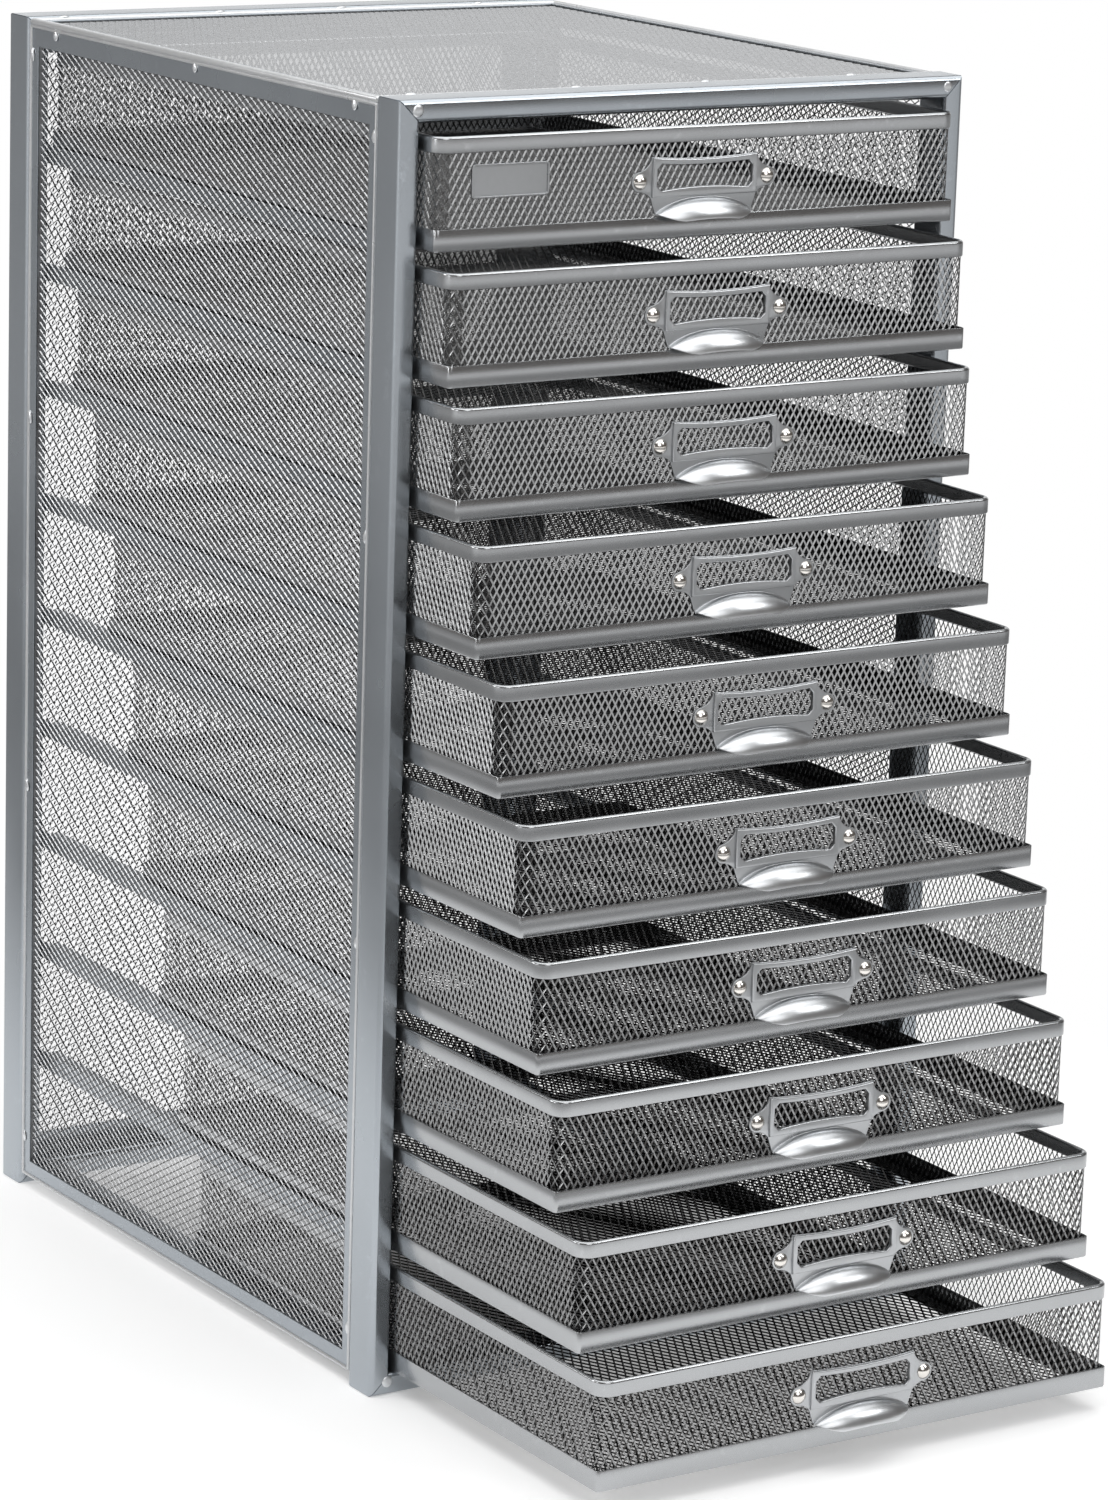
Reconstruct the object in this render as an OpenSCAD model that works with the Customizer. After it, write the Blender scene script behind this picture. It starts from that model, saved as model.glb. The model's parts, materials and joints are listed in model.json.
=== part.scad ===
// Desktop cabinet of ten shallow wire-mesh drawers on side runners.
// Millimetres, Z up. The origin is the middle of the front frame's bottom rail, on its underside.
// The drawers pull out along -Y, and each one stands open by its own entry of drawer_open.

/* [Cabinet] */
// Width over the frames
cabinet_w = 292; // [240:1:400]
// Depth over both frames
cabinet_d = 356; // [300:1:460]
// Height over the frames
cabinet_h = 571.5; // [560:0.5:700]
// Face width of a frame tube
tube_face = 10; // [8:0.5:16]
// Depth of a frame tube
tube_depth = 20; // [14:0.5:30]
// Wall of a frame tube
tube_wall = 1.2; // [0.8:0.1:2]
// Outer edge radius of a frame tube
tube_round = 1.6; // [0.8:0.1:2.5]
// Inner edge radius of a frame tube
tube_bore_round = 0.5; // [0.3:0.1:1.2]

/* [Panels] */
// Thickness of the panels' sheet
panel_sheet = 0.8; // [0.6:0.1:1.5]
// Width of a panel's flat border beside the frames
panel_border = 7; // [4:0.5:12]
// Width of a side panel's flat border along its top
head_border = 10; // [6:0.5:14]
// Width of a side panel's flat border along its foot
foot_border = 8; // [5:0.5:14]
// Width of the raised bead round a panel
panel_bead = 1.6; // [1:0.1:3]
// Height of the raised bead round a panel
panel_bead_h = 0.9; // [0.4:0.1:1.5]
// Depth of a panel's edge, which is folded in against the frame
panel_fold = 5; // [3:0.5:8]
// Height that the frames' feet reach below a side panel
panel_foot = 6; // [0:0.5:20]
// Width of the back panel's flat border
back_border = 9; // [5:0.5:14]
// Diamond of the panels' mesh, the short way
panel_mesh_short = 13.8; // [10:0.1:28]
// Diamond of the panels' mesh, the long way
panel_mesh_long = 25.6; // [18:0.1:52]

/* [Drawers] */
// Gap between a drawer's rims and the posts on each side
drawer_side_gap = 1.5; // [1:0.1:4]
// How far a closed drawer ends short of the rear frame's outer face
drawer_rear_gap = 10; // [6:0.5:40]
// Gap between a drawer's rim and the drawer above it
drawer_gap = 7; // [6:0.1:16]
// Gap between the lowest drawer and the bottom rail
drawer_floor_gap = 0.6; // [0.4:0.1:2]
// Gap between the highest drawer's rim and the top rail
drawer_head_gap = 4.4; // [2:0.1:8]
// Diamond of the drawers' mesh, the short way
mesh_short = 17.2; // [12:0.1:30]
// Diamond of the drawers' mesh, the long way
mesh_long = 32; // [20:0.1:56]
// Part of the mesh's short way that a strand covers
strand_share = 0.2; // [0.12:0.01:0.4]
// Thickness of one layer of strands
strand_t = 0.4; // [0.3:0.05:0.8]

/* [Drawer rims] */
// Height of the rolled top rim
rim_h = 7; // [5:0.1:9]
// Thickness of the rolled top rim
rim_t = 2.4; // [2.2:0.1:3.5]
// Plan radius of the top rim's corners
rim_corner = 7; // [5:0.5:12]
// How far the rims stand proud of the mesh
rim_proud = 0.7; // [0.5:0.1:1.2]
// Height of the bottom band
band_h = 9.5; // [6:0.1:12]
// Thickness of the bottom band's sheet
band_t = 0.6; // [0.5:0.05:0.65]
// Plan radius of the bottom band's corners
band_corner = 2; // [1:0.5:5]
// Width of the bottom band's flange, turned in under the drawer
band_flange = 8; // [4:0.5:14]

/* [Runners] */
// Height of a runner's upright flange
runner_h = 8.1; // [6:0.1:9]
// Thickness of a runner's sheet
runner_t = 1; // [0.6:0.1:1.2]
// How far a runner's flange stands above the drawer's underside
runner_lip = 2.5; // [1:0.1:4]
// Width of a runner's shelf under the drawer
runner_shelf = 10; // [6:0.5:14]
// Running clearance between a drawer and its runner shelf
runner_gap = 0.3; // [0.2:0.05:1]

/* [Label pulls] */
// Width over the raised frame round the label
label_w = 54.6; // [40:0.2:80]
// Height of the raised frame's lower edge above the drawer's underside
label_z = 17.8; // [15:0.1:20]
// Height of the raised frame
label_h = 17.8; // [14:0.1:20]
// Width of the raised frame's side bars
label_bar = 2.6; // [1.5:0.1:4]
// Width of the raised frame's top and bottom bars, at the corners
label_rail = 3.1; // [1.8:0.1:4]
// Height of the raised frame above the plate
label_rise = 1.1; // [0.5:0.1:2]
// How far the raised frame lies inside the plate's edge
label_step = 0.3; // [0.2:0.1:0.8]
// Depth of the shallow curves along the frame's top and the window's bottom
label_bow = 1.3; // [0.5:0.1:2]
// Depth of the shallow curve along the window's top
window_dip = 0.8; // [0.3:0.1:1.5]
// Cut corners of the label window
window_cut = 2.2; // [1:0.1:3]
// Thickness of the pull's plate
plate_t = 1; // [0.6:0.1:1.5]
// How far the plate's lower corners lie inside the raised frame's sides
plate_foot_in = 2.3; // [0.5:0.1:6]
// Height of the plate's lower corners above the drawer's underside
plate_foot_z = 11.2; // [10:0.1:13]
// Distance of a rivet from the raised frame's side
rivet_out = 5.6; // [4.7:0.1:9]
// Height of the rivets above the drawer's underside
rivet_z = 25; // [22:0.1:28]
// Diameter of a rivet's domed head
rivet_head_d = 7; // [5:0.1:8]
// Height of a rivet's domed head
rivet_head_h = 2; // [1:0.1:3]
// Diameter of a rivet's shank
rivet_shank_d = 3; // [2:0.1:4]
// Clearance round a rivet's shank
rivet_slack = 0.1; // [0.05:0.05:0.3]
// Radius of an ear's rounded tip
ear_r = 4.3; // [4.1:0.1:6]
// Radius of the hollow between an ear and the frame
ear_hollow_r = 8; // [6:0.5:14]
// Distance from the frame's upper corner down to where an ear begins
ear_drop = 0.8; // [0.4:0.1:2]
// How far the finger cup stands out of the plate
cup_out = 9.3; // [8:0.1:14]
// Height of the cup's axis and lip above the drawer's underside
cup_z = 8.2; // [6:0.1:9]
// Thickness of the cup's wall
cup_t = 1; // [0.8:0.1:1.5]
// How far the cup's tips lie inside the plate's lower corners
cup_tip_in = 0.4; // [0.1:0.1:3]
// How far the cup's arc would run on past its tips to meet its axis
cup_run = 4.7; // [1:0.1:10]
// Half width of the lip's low part
cup_lip = 14.5; // [8:0.5:20]
// Rise of the lip's middle
cup_lip_rise = 0.9; // [0.4:0.1:2]
// Width of the lip's raised middle
cup_arch = 26; // [12:0.5:30]
// How far the cup's tips end below the plate's lower corners
cup_tip_drop = 0.6; // [0:0.1:1.5]

/* [Drawer positions] */
// How far each drawer stands open, from the top drawer down
drawer_open = [11.5, 25, 34, 52.5, 72.5, 93, 109, 126, 147, 164.5];

/* [Hidden] */
drawer_count = len(drawer_open);
function two(i) = i < 10 ? str("0", i) : str(i);

seam = 0.02;                               // hairline left where two pieces are welded or laid together
seat = 0.3;                                // gap left where a panel lies against the frames
fit = 0.05;                                // slack of the mesh in the rim's groove
reach = 1000;                              // length of a cutting body, beyond any piece
far = 2;                                   // how far a cut runs past the face it opens

front_y = -tube_depth / 2;                 // front face of the front frame
rear_y = front_y + cabinet_d;              // rear face of the rear frame
bay_y0 = front_y + tube_depth;             // the frames' inner faces, and between them the panels
bay_y1 = rear_y - tube_depth;
bay_half = cabinet_w / 2 - tube_face;      // half the frames' opening
bay_h = cabinet_h - 2 * tube_face;

drawer_w = 2 * (bay_half - drawer_side_gap); // width over a drawer's rims
drawer_l = cabinet_d - drawer_rear_gap;      // length over a drawer's rims
// The drawers share the opening evenly, between the gaps at its floor and its head.
drawer_pitch = (bay_h - drawer_floor_gap - drawer_head_gap + drawer_gap) / drawer_count;
drawer_h = drawer_pitch - drawer_gap;        // height of a drawer
function drawer_z(i) = tube_face + drawer_floor_gap + drawer_pitch * (drawer_count - i);
function drawer_y(i) = front_y - drawer_open[i - 1];

mesh_t = 2 * strand_t + seam;              // both layers of strands
mesh_half = drawer_w / 2 - rim_proud;      // outer face of a drawer's side mesh
mesh_round = rim_corner - rim_proud;       // outer radius of the mesh round a corner
floor_z = band_t + seam;                   // the mesh stands on the band's flange
mesh_top = drawer_h - rim_h / 3;           // and ends inside the top rim
back_y = rear_y - panel_sheet - panel_bead_h - seat;

label_face = rim_proud - seam - plate_t;   // the plate's front, counted from the rims' front face
plate_foot_w = label_w - 2 * plate_foot_in;
rivet_span = label_w + 2 * rivet_out;
cup_keep = plate_foot_w / 2 - cup_tip_in;  // half width of the cup that is kept
cup_half = cup_keep + cup_run;             // half width of the whole spindle that it is cut from
function sagitta_r(half, rise) = (half * half + rise * rise) / (2 * rise);
cup_r = sagitta_r(cup_half, cup_out);      // radius of the cup's long arc

steel = "#b4bac1";
dark_steel = "#8d949c";
rim_steel = "#c3c8ce";
mesh_steel = "#9aa1a9";
chrome = "#e2e5e8";

// ---------- frames ----------

// Section of a tube, rounded along its four edges, in the middle of the axes.
module rounded(w, h, r) {
  square([w - 2 * r, h], center = true);
  square([w, h - 2 * r], center = true);
  for (x = [-1, 1], y = [-1, 1])
    translate([x * (w / 2 - r), y * (h / 2 - r)]) circle(r, $fn = 48);
}

module tube_section() {
  difference() {
    rounded(tube_depth, tube_face, tube_round);
    rounded(tube_depth - 2 * tube_wall, tube_face - 2 * tube_wall, tube_bore_round);
  }
}

// One tube of a frame along +X, cut at 45 degrees at both ends, its outer face on z = 0.
module mitred_tube(length) {
  intersection() {
    translate([0, 0, tube_face / 2]) rotate([90, 0, 90]) linear_extrude(length) tube_section();
    translate([0, tube_depth, 0]) rotate([90, 0, 0]) linear_extrude(2 * tube_depth)
      polygon([[seam, 0], [length - seam, 0],
               [length - seam - tube_face, tube_face], [seam + tube_face, tube_face]]);
  }
}

// A welded frame of four tubes, its front face at y.
module frame(y) {
  translate([0, y + tube_depth / 2, 0]) {
    translate([-cabinet_w / 2, 0, 0]) mitred_tube(cabinet_w);
    translate([cabinet_w / 2, 0, cabinet_h]) rotate([0, 180, 0]) mitred_tube(cabinet_w);
    translate([-cabinet_w / 2, 0, cabinet_h]) rotate([0, 90, 0]) mitred_tube(cabinet_h);
    translate([cabinet_w / 2, 0, 0]) rotate([0, -90, 0]) mitred_tube(cabinet_h);
  }
}

module front_frame() { color(steel) frame(front_y); }
module rear_frame() { color(steel) frame(bay_y1); }

// ---------- expanded mesh ----------

// Slots of one layer, w by h: the strands between them climb the long way for each short way
// that they lean, to the right where lean is 1 and to the left where it is -1.
module slots(w, h, short, long, lean) {
  shift = h * short / long;
  gap = short * (1 - strand_share);
  count = ceil((w + shift) / short);
  start = (w - shift - count * short + short * strand_share) / 2;
  intersection() {
    square([w, h]);
    for (k = [0:count - 1])
      let (x = start + k * short)
        polygon(lean > 0 ? [[x, 0], [x + gap, 0], [x + gap + shift, h], [x + shift, h]]
                         : [[x + shift, 0], [x + shift + gap, 0], [x + gap, h], [x, h]]);
  }
}

// Two layers of strands that lean opposite ways, w by h on the axes, with a plain margin round
// the slots: left, right, bottom and top. The strands stand upright, or lie along X where flat.
module mesh(w, h, margin, short, long, flat = false) {
  inner_w = w - margin[0] - margin[1];
  inner_h = h - margin[2] - margin[3];
  for (layer = [0, 1])
    translate([0, 0, layer * (strand_t + seam)]) linear_extrude(strand_t)
      difference() {
        square([w, h]);
        translate([margin[0], margin[2]])
          if (flat) mirror([1, -1, 0]) slots(inner_h, inner_w, short, long, 2 * layer - 1);
          else slots(inner_w, inner_h, short, long, 2 * layer - 1);
      }
}

// ---------- cabinet panels ----------

// A sheet panel w by h on the axes, its outer face up: a flat border, in the order left, right,
// bottom and top, with a raised bead and a folded edge, and the mesh recessed under it.
module mesh_panel(w, h, border, fold, flat) {
  lap = border / 2;
  translate([0, 0, -panel_sheet]) linear_extrude(panel_sheet) difference() {
    square([w, h]);
    translate([border[0], border[2]])
      square([w - border[0] - border[1], h - border[2] - border[3]]);
  }
  bead_and_fold(w, h, fold);
  translate([lap[0], lap[2], -panel_sheet - seam - mesh_t])
    mesh(w - lap[0] - lap[1], h - lap[2] - lap[3], lap, panel_mesh_short, panel_mesh_long, flat);
}

function all_round(border) = [border, border, border, border];

// The bead on the panel's outer edge and the fold under it, as one formed strip on each side.
module bead_and_fold(w, h, fold) {
  edge_strip(w, fold);
  translate([w, h, 0]) rotate(180) edge_strip(w, fold);
  translate([0, h, 0]) rotate(-90) edge_strip(h, fold);
  translate([w, 0, 0]) rotate(90) edge_strip(h, fold);
}

module edge_strip(length, fold) {
  inset = panel_bead + seam;
  translate([inset, 0, seam]) rotate([90, 0, 90]) linear_extrude(length - 2 * inset)
    bead_section();
  translate([inset, 0, -panel_sheet - seam - fold])
    cube([length - 2 * inset, panel_sheet, fold]);
}

module bead_section() {
  intersection() {
    translate([panel_bead / 2, 0]) scale(panel_bead / 2) circle(1, $fn = 48);
    square([panel_bead, panel_bead_h]);
  }
}

panel_l = bay_y1 - bay_y0 - 2 * seat;      // length of the side and top panels between the frames
top_face = cabinet_h - panel_bead_h - seat; // upper face of the top panel's sheet
side_top = top_face - panel_sheet - seam - mesh_t - seat;

// A side panel stands upright with its bead level with the frames' sides.
module side_panel() {
  translate([panel_bead_h - cabinet_w / 2 + seat, bay_y1 - seat, panel_foot])
    rotate([90, 0, -90])
      mesh_panel(panel_l, side_top - panel_foot,
                 [panel_border, panel_border, foot_border, head_border], panel_fold, true);
}

module left_panel() { color(mesh_steel) side_panel(); }
module right_panel() { color(mesh_steel) mirror([1, 0, 0]) side_panel(); }

module top_panel() {
  color(mesh_steel)
    translate([seat - cabinet_w / 2, bay_y0 + seat, top_face])
      mesh_panel(cabinet_w - 2 * seat, panel_l, all_round(panel_border), seam + panel_sheet, true);
}

// The back panel lies inside the rear frame, at its rear face.
module back_panel() {
  color(mesh_steel)
    translate([bay_half - seat, back_y, tube_face + seat])
      rotate([90, 0, 180])
        mesh_panel(2 * (bay_half - seat), bay_h - 2 * seat, all_round(back_border),
                   panel_fold / 2, false);
}

// ---------- runners ----------

// One runner of the right side: an upright flange in line behind the posts' inner faces, and a
// shelf that the drawer's bottom band slides on.
module runner(i) {
  length = bay_y1 - bay_y0 - 2 * seam;
  z = drawer_z(i);
  translate([bay_half, bay_y0 + seam, z + runner_lip - runner_h])
    cube([runner_t, length, runner_h]);
  translate([bay_half - seam - runner_shelf, bay_y0 + seam, z - runner_gap - runner_t])
    cube([runner_shelf, length, runner_t]);
}

module right_runners() {
  color(dark_steel) for (i = [1:drawer_count]) runner(i);
}
module left_runners() {
  color(dark_steel) mirror([1, 0, 0]) for (i = [1:drawer_count]) runner(i);
}

// ---------- drawers ----------

// Puts a drawer's piece in its place: x from the middle, y from the front face, z from below.
module at_drawer(i) {
  translate([0, drawer_y(i), drawer_z(i)]) children();
}

// Four straight runs and four round corners of a section, as a ring w by l with its front on
// y = 0. The section's x runs inwards from the ring's outer face, and its y runs up.
module ring(w, l, corner) {
  for (side = [0, 1]) {
    translate([0, side * l, 0]) rotate(180 * side) {
      translate([-w / 2 + corner + seam, 0, 0])
        run(w - 2 * corner - 2 * seam) children();
      translate([w / 2 - corner, corner, 0]) turn(corner) children();
      translate([w / 2, corner + seam, 0]) rotate(90)
        run(l - 2 * corner - 2 * seam) children();
    }
    translate([0, side * l, 0]) rotate(180 * side)
      translate([corner - w / 2, corner, 0]) rotate(-90) turn(corner) children();
  }
}

// A straight run of a section along +X, its outer face on y = 0.
module run(length) {
  rotate([90, 0, 90]) linear_extrude(length) children();
}

// A quarter turn of a section from -Y to +X round the origin, its outer face at the radius.
module turn(radius) {
  rotate(-90) rotate_extrude(angle = 90, $fn = 96)
    translate([radius, 0]) mirror([1, 0]) children();
}

// The rolled top rim: two legs over the mesh's edge under a round bead.
module rim_section() {
  difference() {
    union() {
      translate([0, drawer_h - rim_h]) square([rim_t, rim_h - rim_t / 2]);
      translate([rim_t / 2, drawer_h - rim_t / 2]) circle(d = rim_t, $fn = 48);
    }
    translate([rim_proud - fit, drawer_h - rim_h - far])
      square([mesh_t + 2 * fit, mesh_top - drawer_h + rim_h + far + fit]);
  }
}

module top_rim(i) {
  color(rim_steel) at_drawer(i) ring(drawer_w, drawer_l, rim_corner) rim_section();
}

// The bottom band: an upright leg round the mesh's foot, and a flange turned in under the floor.
module bottom_rim(i) {
  color(rim_steel) at_drawer(i) {
    ring(drawer_w, drawer_l, band_corner) square([band_t, band_h]);
    flanges();
  }
}

module flanges() {
  w = drawer_w - 2 * (band_t + seam);
  l = drawer_l - 2 * (band_t + seam);
  translate([0, band_t + seam, 0]) for (side = [0, 1]) {
    translate([0, side * l, 0]) rotate(180 * side) {
      translate([-w / 2, 0, 0]) flange(w);
      translate([w / 2, 0, 0]) rotate(90) flange(l);
    }
  }
}

// One flange along +X, cut at 45 degrees at its ends and cleared at the band's corners.
module flange(length) {
  clip = band_corner;
  linear_extrude(band_t)
    polygon([[clip + seam, 0], [length - clip - seam, 0],
             [length - band_flange - seam, band_flange - clip],
             [length - band_flange - seam, band_flange], [band_flange + seam, band_flange],
             [band_flange + seam, band_flange - clip]]);
}

// A drawer's mesh: four walls and four round corners, and a floor on the band's flange.
module tray(i) {
  color(mesh_steel) at_drawer(i) {
    translate([0, rim_proud, floor_z]) {
      mesh_wall(2 * mesh_half);
      translate([0, drawer_l - 2 * rim_proud, 0]) rotate(180) mesh_wall(2 * mesh_half);
      for (side = [-1, 1])
        translate([side * mesh_half, drawer_l / 2 - rim_proud, 0]) rotate(90 * side)
          mesh_wall(drawer_l - 2 * rim_proud);
    }
    for (x = [0, 1], y = [0, 1])
      translate([0, y * drawer_l, 0]) rotate(180 * y) mirror([x, 0, 0])
        translate([drawer_w / 2 - rim_corner, rim_corner, floor_z])
          turn(mesh_round) square([mesh_t, mesh_top - floor_z]);
    mesh_floor();
  }
}

// A wall over a length w in the middle of the X axis, its outer face on y = 0, without the
// corners. The slots end under the rims.
module mesh_wall(w) {
  plain = mesh_round + seam;
  hidden = band_h / 2;
  translate([plain - w / 2, mesh_t, 0]) rotate([90, 0, 0])
    mesh(w - 2 * plain, mesh_top - floor_z, [strand_t, strand_t, hidden, rim_h / 3],
         mesh_short, mesh_long);
}

module mesh_floor() {
  slack = rim_proud + mesh_t + fit;
  w = drawer_w - 2 * slack;
  l = drawer_l - 2 * slack;
  chamfer = rim_corner;
  border = band_flange / 2;
  translate([-w / 2, slack, floor_z]) intersection() {
    mesh(w, l, [border, border, border, border], mesh_short, mesh_long);
    linear_extrude(far) polygon([[chamfer, 0], [w - chamfer, 0], [w, chamfer], [w, l - chamfer],
                                 [w - chamfer, l], [chamfer, l], [0, l - chamfer], [0, chamfer]]);
  }
}

// ---------- label pulls ----------

// The pull is drawn in x and z of its drawer, and grows out of the plate's front face.
module outward(i) {
  at_drawer(i) translate([0, label_face, 0]) rotate([90, 0, 0]) children();
}

// Place of the hollow's centre, which touches the ear's tip and passes the frame's corner p.
function hollow(e, p) =
  let (d = norm(p - e), a = (d * d + (ear_r + ear_hollow_r) ^ 2 - ear_hollow_r ^ 2) / (2 * d),
       h = sqrt((ear_r + ear_hollow_r) ^ 2 - a * a), u = (p - e) / d)
    e + a * u + h * [abs(u[1]), sign(u[1]) * abs(u[0])];

// Points of an arc round c, from one point to another that lies less than half a turn away.
function arc(c, p, q, n = 8) =
  let (a = atan2(p[1] - c[1], p[0] - c[0]), b = atan2(q[1] - c[1], q[0] - c[0]))
    [for (k = [0:n]) c + norm(p - c) * [cos(a + (b - a) * k / n), sin(a + (b - a) * k / n)]];

// Points of a shallow curve from x = half to x = -half round height z, bent by rise in the middle.
// A negative half runs it from left to right.
function bow(half, z, rise, n = 10) =
  [for (k = [0:n]) let (x = half * (1 - 2 * k / n)) [x, z + rise * (1 - x * x / (half * half))]];

function mirrored(points) = [for (k = [len(points) - 1:-1:0]) [-points[k][0], points[k][1]]];

// Right side of the plate, upwards: its lower corner, and the ear between two hollow sides.
function plate_side() =
  let (e = [rivet_span / 2, rivet_z],
       low = [label_w / 2, label_z],
       high = [label_w / 2, label_z + label_h - ear_drop],
       c_low = hollow(e, low),
       c_high = hollow(e, high),
       t_low = e + (c_low - e) * ear_r / norm(c_low - e),
       t_high = e + (c_high - e) * ear_r / norm(c_high - e))
    concat([[plate_foot_w / 2, plate_foot_z]], arc(c_low, low, t_low),
           [for (k = [1:1:9]) arc(e, t_low, t_high, 10)[k]], arc(c_high, t_high, high));

module plate_outline() {
  polygon(concat(plate_side(), bow(label_w / 2, label_z + label_h, -label_bow),
                 mirrored(plate_side())));
}

// Outline of the raised frame, a little inside the plate's edge, its top edge dipping.
module label_outline() {
  half = label_w / 2 - label_step;
  polygon(concat([[-half, label_z], [half, label_z]],
                 bow(half, label_z + label_h - label_step, -label_bow)));
}

// The window, with cut corners and both long edges bowed.
module label_window() {
  half = label_w / 2 - label_bar;
  low = label_z + label_rail;
  high = label_z + label_h - label_rail;
  flat = half - window_cut;
  polygon(concat([[half, low + window_cut], [half, high - window_cut]],
                 bow(flat, high, -window_dip),
                 [[-half, high - window_cut], [-half, low + window_cut]],
                 bow(-flat, low, label_bow)));
}

// The finger cup: a quarter of a hollow spindle, its axis on the plate's front, cut to its lip.
module finger_cup() {
  difference() {
    intersection() {
      spindle(cup_r);
      linear_extrude(reach) lip_outline();
    }
    spindle(cup_r - cup_t);
  }
}

// A solid of revolution round the X axis at the lip's height, of radius cup_out in the middle.
module spindle(r) {
  translate([0, cup_z, 0]) rotate([0, 90, 0]) rotate_extrude($fn = 96) intersection() {
    translate([cup_out - cup_r, 0]) circle(r, $fn = 180);
    translate([0, -reach / 2]) square([2 * cup_out, reach]);
  }
}

// What is kept of the spindle, seen from the front: above the lip, which rises to both tips.
module lip_outline() {
  arch_r = sagitta_r(cup_arch / 2, cup_lip_rise);
  tip = plate_foot_z - cup_tip_drop;
  difference() {
    polygon([[-cup_lip, cup_z], [cup_lip, cup_z], [cup_keep, tip], [cup_keep, cup_z + cup_out],
             [-cup_keep, cup_z + cup_out], [-cup_keep, tip]]);
    translate([0, cup_z + cup_lip_rise - arch_r]) circle(arch_r, $fn = 180);
  }
}

module label_pull(i) {
  color(steel) outward(i) {
    difference() {
      union() {
        translate([0, 0, -plate_t]) linear_extrude(plate_t) plate_outline();
        linear_extrude(label_rise) label_outline();
      }
      translate([0, 0, -plate_t - far]) linear_extrude(plate_t + label_rise + 2 * far) {
        label_window();
        for (x = [-1, 1]) translate([x * rivet_span / 2, rivet_z])
          circle(d = rivet_shank_d + 2 * rivet_slack, $fn = 48);
      }
    }
    translate([0, 0, seam]) finger_cup();
  }
}

// Two rivets with domed heads on the plate's ears, and their shanks through it.
module rivets(i) {
  dome_r = sagitta_r(rivet_head_d / 2, rivet_head_h);
  color(chrome) outward(i)
    for (x = [-1, 1]) translate([x * rivet_span / 2, rivet_z, 0]) {
      intersection() {
        translate([0, 0, seam + rivet_head_h - dome_r]) sphere(dome_r, $fn = 96);
        translate([0, 0, seam]) cylinder(r = rivet_head_d, h = rivet_head_h + far, $fn = 48);
      }
      translate([0, 0, -plate_t])
        cylinder(d = rivet_shank_d, h = plate_t + seam + rivet_head_h / 4, $fn = 48);
    }
}

front_frame();
rear_frame();
left_panel();
right_panel();
top_panel();
back_panel();
left_runners();
right_runners();
for (i = [1:drawer_count]) {
  tray(i);
  top_rim(i);
  bottom_rim(i);
  label_pull(i);
  rivets(i);
}
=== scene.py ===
import json
from math import asin, atan2, cos, floor, pi, radians, sin, sqrt

import bmesh
import bpy
from bpy.props import FloatProperty, FloatVectorProperty, PointerProperty
from mathutils import Matrix, Vector

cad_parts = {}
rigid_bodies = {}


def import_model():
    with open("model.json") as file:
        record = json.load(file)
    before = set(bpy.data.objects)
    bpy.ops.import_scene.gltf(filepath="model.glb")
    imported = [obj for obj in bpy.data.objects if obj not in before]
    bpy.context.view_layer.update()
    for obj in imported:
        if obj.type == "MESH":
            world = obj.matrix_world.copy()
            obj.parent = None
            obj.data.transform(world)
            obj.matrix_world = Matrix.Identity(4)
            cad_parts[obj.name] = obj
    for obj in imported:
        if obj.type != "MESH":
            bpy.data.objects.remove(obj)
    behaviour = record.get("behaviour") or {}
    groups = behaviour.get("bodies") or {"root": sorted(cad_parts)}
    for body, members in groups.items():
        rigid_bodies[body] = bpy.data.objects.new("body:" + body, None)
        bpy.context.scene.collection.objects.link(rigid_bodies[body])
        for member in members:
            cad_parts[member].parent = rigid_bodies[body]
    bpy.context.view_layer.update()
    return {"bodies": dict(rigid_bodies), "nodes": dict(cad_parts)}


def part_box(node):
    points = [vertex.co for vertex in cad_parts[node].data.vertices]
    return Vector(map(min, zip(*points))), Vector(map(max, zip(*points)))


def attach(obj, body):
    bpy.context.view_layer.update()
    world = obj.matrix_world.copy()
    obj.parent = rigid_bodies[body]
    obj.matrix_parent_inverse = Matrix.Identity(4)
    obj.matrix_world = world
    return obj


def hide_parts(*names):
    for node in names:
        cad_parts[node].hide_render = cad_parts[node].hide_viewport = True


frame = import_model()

bl_info = {
    "name": "Mesh desk drawers",
    "version": (1, 0, 0),
    "blender": (4, 5, 0),
    "location": "View3D > Sidebar > Drawers",
    "description": "Builds a desktop cabinet of wire-mesh drawers round its frame",
    "category": "Object",
}

MM = 0.001
CABINET = "cabinet"
DRAWERS = sorted(name for name in frame["bodies"] if name.startswith("drawer_"))
MATERIALS = {}

# The camera looks this far round to the right from the front, and a little down. Its sensor and
# its lens are in millimetres.
VIEW_TURN = radians(33.10)
VIEW_TILT = radians(13.66)
VIEW_ROLL = radians(1.80)
VIEW_PLACE = (-1.3042, -1.9185, 0.8386)
SENSOR_HEIGHT = 24.0
LENS = 85.976

# Round soft boxes: place, what each points at, width, and how many white walls it equals.
LAMPS = {
    "top_light": ((-0.05, 0.15, 1.65), (-0.05, 0.15, 0.0), 2.6, 1.75),
    "low_light": ((-2.55, -0.05, 0.85), (-0.13, -0.1, 0.3), 0.75, 3.8),
    "front_light": ((-0.6, -2.5, 1.8), (0, 0, 0.3), 2.0, 1.85),
    "right_light": ((1.5, -1.6, 2.0), (0, 0, 0.35), 0.9, 6.0),
    "left_light": ((-2.3, 1.6, 1.35), (0, 0.15, 0.3), 1.2, 4.8),
}

# Tones of the dim studio from level (0) to straight up (1).
ROOM_TONES = ((0.0, (0.13, 0.112, 0.10)), (0.25, (0.12, 0.11, 0.105)), (0.6, (0.15, 0.15, 0.15)),
              (1.0, (0.30, 0.30, 0.30)))
WHITE = (1.0, 1.0, 1.0, 1.0)


# ---------- sizes and finishes ----------

def length(name, description, millimetres):
    return FloatProperty(name=name, description=description, default=millimetres * MM, unit="LENGTH",
                         precision=5)


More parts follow.
